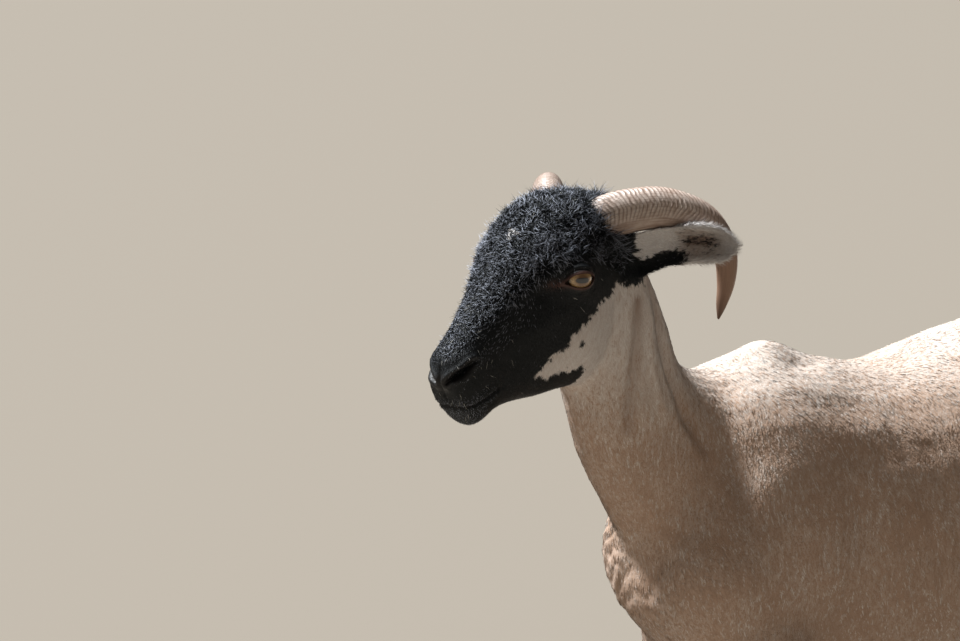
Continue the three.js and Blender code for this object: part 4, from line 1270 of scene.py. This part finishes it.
def ridge_tree():
    """Raises the growth ridges, which bend to a point along the horn's outer side."""
    tree = bpy.data.node_groups.new("growth_ridges", "GeometryNodeTree")
    sockets = tree.interface
    sockets.new_socket("Horn", in_out="INPUT", socket_type="NodeSocketGeometry")
    for label in ("Ridges", "Height", "Slant", "Wander"):
        sockets.new_socket(label, in_out="INPUT", socket_type="NodeSocketFloat")
    sockets.new_socket("Sheath", in_out="INPUT", socket_type="NodeSocketMaterial")
    sockets.new_socket("Horn", in_out="OUTPUT", socket_type="NodeSocketGeometry")
    given = add(tree, "NodeGroupInput").outputs

    def named(label):
        return add(tree, "GeometryNodeInputNamedAttribute", {"Name": label}, data_type="FLOAT").outputs[0]

    place = add(tree, "GeometryNodeInputPosition").outputs[0]
    drift = add(tree, "ShaderNodeTexNoise", {"Vector": place, "Scale": 55.0, "Detail": 2.0}).outputs[0]
    phase = sums(tree, "MULTIPLY_ADD", named("along"), given["Ridges"],
                 sums(tree, "MULTIPLY_ADD", named("chevron"), given["Slant"],
                      sums(tree, "MULTIPLY", drift, given["Wander"])))
    wave = sums(tree, "SINE", sums(tree, "MULTIPLY", phase, 2 * math.pi))
    ridge = sums(tree, "POWER", sums(tree, "MULTIPLY_ADD", wave, 0.5, 0.5), 1.6)
    lift = sums(tree, "MULTIPLY", sums(tree, "MULTIPLY", ridge, named("ridged")), given["Height"])
    normal = add(tree, "GeometryNodeInputNormal").outputs[0]
    offset = add(tree, "ShaderNodeVectorMath", {0: normal, 3: lift}, operation="SCALE").outputs[0]
    horn = add(tree, "GeometryNodeStoreNamedAttribute",
               {"Geometry": given["Horn"], "Name": "ridge", "Value": ridge}, data_type="FLOAT").outputs[0]
    horn = add(tree, "GeometryNodeSetPosition", {"Geometry": horn, "Offset": offset}).outputs[0]
    horn = add(tree, "GeometryNodeRealizeInstances", {0: horn}).outputs[0]
    horn = add(tree, "GeometryNodeSetMaterial", {"Geometry": horn, "Material": given["Sheath"]}).outputs[0]
    add(tree, "NodeGroupOutput", {"Horn": horn})
    return tree


def horn_material():
    material, tree, shader = new_material("horn")
    along, ridged = held(tree, "along"), held(tree, "ridged")
    lines = noise(tree, 160)
    pale = mixed(tree, ranged(tree, lines, 0.35, 0.7), HORN_PALE, HORN_PINK)
    # Painted shade: the grooves between the growth ridges are painted dark.
    groove_shade = sums(tree, "MULTIPLY", ranged(tree, held(tree, "ridge"), 0.45, 0.0), ridged)
    colour = mixed(tree, sums(tree, "MULTIPLY", groove_shade, 0.85), pale, HORN_GROOVE_SHADE)
    lengthways = add(tree, "ShaderNodeCombineXYZ", {0: sums(tree, "MULTIPLY", held(tree, "chevron"), 24.0),
                                                    1: sums(tree, "MULTIPLY", along, 5.0)}).outputs[0]
    fibres = add(tree, "ShaderNodeTexNoise", {"Vector": lengthways, "Scale": 1.6, "Detail": 4.0}).outputs[0]
    smooth_side = ranged(tree, ridged, 0.0, 0.6, 1.0, 0.0)
    streaky = sums(tree, "MULTIPLY", ranged(tree, fibres, 0.42, 0.62, 0.0, 0.6), smooth_side)
    colour = mixed(tree, streaky, colour, HORN_STREAK)
    # Partly the horn's own browner colour and partly painted shade: where it is not ridged, on its lower and
    # inner side and towards its point, the horn is darker.
    colour = mixed(tree, ranged(tree, ridged, 0.75, 0.15, 0.0, 0.5), colour, HORN_BROWN_AND_SHADE)
    colour = mixed(tree, ranged(tree, noise(tree, 45), 0.45, 0.75, 0.0, 0.5), colour, HORN_STAIN)
    colour = mixed(tree, ranged(tree, along, 0.50, 0.80), colour, HORN_OUTER)
    colour = mixed(tree, ranged(tree, fibres, 0.46, 0.64, 0.0, 0.35), colour, HORN_FIBRE)
    colour = mixed(tree, ranged(tree, along, 0.90, 1.0), colour, HORN_POINT)
    tree.links.new(colour, shader.inputs["Base Color"])
    tree.links.new(ranged(tree, noise(tree, 300), 0.3, 0.7, 0.36, 0.58), shader.inputs["Roughness"])
    grain = {"Strength": 0.3, "Distance": 0.0004, "Height": noise(tree, 700, detail=5.0)}
    tree.links.new(add(tree, "ShaderNodeBump", grain).outputs[0], shader.inputs["Normal"])
    return material


ridges = ridge_tree()
horn_finish = horn_material()
for side, flip in (("left", 1), ("right", -1)):
    rows = through(HORN_ROWS, HORN_RINGS)
    middle, depth = rows[:, :3], rows[:, 3:]
    ahead = unit(np.gradient(middle, axis=0))
    aside = unit(HORN_SIDE - ahead * (ahead @ HORN_SIDE)[:, None])
    upward = np.cross(ahead, aside)
    upward *= np.sign(upward[HORN_RINGS // 3, 2])
    turn = np.arange(HORN_ROUND) * 2 * np.pi / HORN_ROUND
    round_horn = (np.cos(turn)[None, :, None] * upward[:, None] * depth[:, None]
                  + np.sin(turn)[None, :, None] * aside[:, None] * depth[:, None] * HORN_FLATNESS)
    places = (middle[:, None] + round_horn).reshape(-1, 3)
    places = np.concatenate([places, middle[[0]], middle[[-1]] + ahead[[-1]] * 0.001]) * (1, flip, 1)
    faces = ring_faces(HORN_RINGS, HORN_ROUND, len(places) - 2, len(places) - 1)
    if flip > 0:
        faces = [face[::-1] for face in faces]
    horn = new_mesh(f"horn_sheath_{side}", from_head(places), faces)
    along = np.repeat(np.linspace(0, 1, HORN_RINGS), HORN_ROUND)
    round_turn = np.tile(turn, HORN_RINGS)
    chevron = np.abs((round_turn - RIDGE_MIDDLE + np.pi) % (2 * np.pi) - np.pi) / np.pi
    upper_side = ramp(np.cos(round_turn - UPPER_MIDDLE), -0.02, 0.42)
    ridged = upper_side * ramp(-along, -0.82, -0.62) * (0.75 + 0.25 * np.cos(round_turn))
    give(horn.data, "along", np.concatenate([along, [0, 1]]))
    give(horn.data, "chevron", np.concatenate([chevron, [0, 0]]))
    give(horn.data, "ridged", np.concatenate([ridged, [0, 0]]))
    raised = horn.modifiers.new("ridges", "NODES")
    raised.node_group = ridges
    inputs = {item.name: item.identifier for item in ridges.interface.items_tree if item.in_out == "INPUT"}
    for label, value in RIDGE_SETTINGS:
        raised[inputs[label]] = value
    raised[inputs["Sheath"]] = horn_finish
    finished(horn)
    smooth_shaded(horn)
    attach(horn, "root")
    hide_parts(f"horn_{side}")

# ---------------------------------------------------------------- claws
# Dark horny claws, two to a foot, and the small dewclaws above them. Each is the hull of its solid, rounded
# off and closed all round, with faint growth lines that follow the coronet.

CLAW_CELL = 0.0014
CLAW_ROUNDS = 9
SOLE = 0.0007                      # what lies this near the bottom is the flat sole
CLAW_BLACK, CLAW_BROWN, CLAW_PALE = (0.022, 0.017, 0.014), (0.075, 0.056, 0.042), (0.14, 0.105, 0.075)


def claw_material():
    material, tree, shader = new_material("claw")
    bands = noise(tree, 60, (0.3, 0.3, 6.0))
    colour = mixed(tree, ranged(tree, bands, 0.35, 0.7), CLAW_BLACK, CLAW_BROWN)
    colour = mixed(tree, ranged(tree, noise(tree, 35), 0.5, 0.75, 0.0, 0.6), colour, CLAW_PALE)
    tree.links.new(colour, shader.inputs["Base Color"])
    tree.links.new(ranged(tree, noise(tree, 240), 0.3, 0.7, 0.42, 0.68), shader.inputs["Roughness"])
    lines = {"Strength": 0.6, "Distance": 0.0008, "Height": bands}
    tree.links.new(add(tree, "ShaderNodeBump", lines).outputs[0], shader.inputs["Normal"])
    return material


claw_finish = claw_material()
for node in sorted(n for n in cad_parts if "claw_" in n):
    places, _ = solid_corners(node)
    claw = new_mesh(node.replace("claw_", "claw_sheath_"), places, [])
    solid = bmesh.new()
    solid.from_mesh(claw.data)
    hull = bmesh.ops.convex_hull(solid, input=list(solid.verts))
    spare = {v for v in hull["geom_interior"] + hull["geom_unused"] if isinstance(v, bmesh.types.BMVert)}
    bmesh.ops.delete(solid, geom=list(spare), context="VERTS")
    solid.to_mesh(claw.data)
    solid.free()
    cut = claw.modifiers.new("remesh", "REMESH")
    cut.mode = "VOXEL"
    cut.voxel_size = CLAW_CELL
    finished(claw)
    places, faces = mesh_arrays(claw.data, 4)
    lowest = places[:, 2].min()
    sole = places[:, 2] < lowest + SOLE
    places = spread_values(places, edges_of(faces), CLAW_ROUNDS)
    places[sole, 2] = lowest
    claw.data.vertices.foreach_set("co", places.ravel())
    claw.data.materials.append(claw_finish)
    smooth_shaded(claw)
    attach(claw, "root")
    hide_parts(node)

# ---------------------------------------------------------------- floor, light and camera
# A plain floor, a soft sun from high over the animal's right shoulder, a weak warm light from its left
# front, a dim sky, and a camera that looks at the head from its left front.

FLOOR_REACH = 400.0
FLOOR_COLOUR = (0.215, 0.185, 0.150, 1)
corners = np.array([(-1, -1, 0), (1, -1, 0), (1, 1, 0), (-1, 1, 0)]) * FLOOR_REACH
floor = new_mesh("floor", corners, [(0, 1, 2, 3)])
floor_finish, tree, shader = new_material("floor")
shader.inputs["Base Color"].default_value = FLOOR_COLOUR
shader.inputs["Roughness"].default_value = 0.9
floor.data.materials.append(floor_finish)

CAMERA_AZIMUTH, CAMERA_RISE = math.radians(-30), math.radians(10)
CAMERA_STEP = np.array((-2.4037, -4.0697, 0.7892))     # from the middle of the head
LENS = 196.9

camera = bpy.data.objects.new("camera", bpy.data.cameras.new("camera"))
camera.data.sensor_width = 36
camera.data.lens = LENS
camera.data.clip_end = 200
camera.location = HEAD_AT + CAMERA_STEP
back = Vector((math.sin(CAMERA_AZIMUTH) * math.cos(CAMERA_RISE),
               -math.cos(CAMERA_AZIMUTH) * math.cos(CAMERA_RISE), math.sin(CAMERA_RISE)))
camera.rotation_euler = back.to_track_quat("Z", "Y").to_euler()
bpy.context.scene.collection.objects.link(camera)
bpy.context.scene.camera = camera


SUN_FROM, SUN_STRENGTH, SUN_WIDTH = (-0.31, 0.42, 0.85), 9.0, math.radians(11)
SUN_COLOUR = (0.955, 0.985, 1.0)
FILL_FROM, FILL_COLOUR = (-0.75, -0.85, 0.35), (1.0, 0.86, 0.72)
SKY_COLOUR = (0.90, 0.88, 0.86, 1)
SKY_SEEN, SKY_LIGHT = 0.55, 0.07   # its strength as the camera sees it, and as it lights the animal


def area_light(name, toward, distance, size, power, colour):
    """A square soft light that shines on the middle of the animal from the given direction."""
    toward = Vector(toward).normalized()
    light = bpy.data.objects.new(name, bpy.data.lights.new(name, "AREA"))
    light.data.size = size
    light.data.energy = power
    light.data.color = colour
    light.location = Vector((-0.1, 0, 0.6)) + toward * distance
    light.rotation_euler = toward.to_track_quat("Z", "Y").to_euler()
    bpy.context.scene.collection.objects.link(light)


key = bpy.data.objects.new("key", bpy.data.lights.new("key", "SUN"))
key.data.energy = SUN_STRENGTH
key.data.angle = SUN_WIDTH
key.data.color = SUN_COLOUR
key.rotation_euler = Vector(SUN_FROM).to_track_quat("Z", "Y").to_euler()
bpy.context.scene.collection.objects.link(key)
area_light("fill", FILL_FROM, distance=5.0, size=3.0, power=6, colour=FILL_COLOUR)
bpy.context.scene.view_settings.view_transform = "Standard"
world = bpy.data.worlds.new("world")
world.use_nodes = True
sky = world.node_tree
straight = add(sky, "ShaderNodeLightPath").outputs["Is Camera Ray"]
strength = ranged(sky, straight, 0, 1, SKY_LIGHT, SKY_SEEN)
sky.links.new(strength, sky.nodes["Background"].inputs["Strength"])
sky.nodes["Background"].inputs["Color"].default_value = SKY_COLOUR
bpy.context.scene.world = world
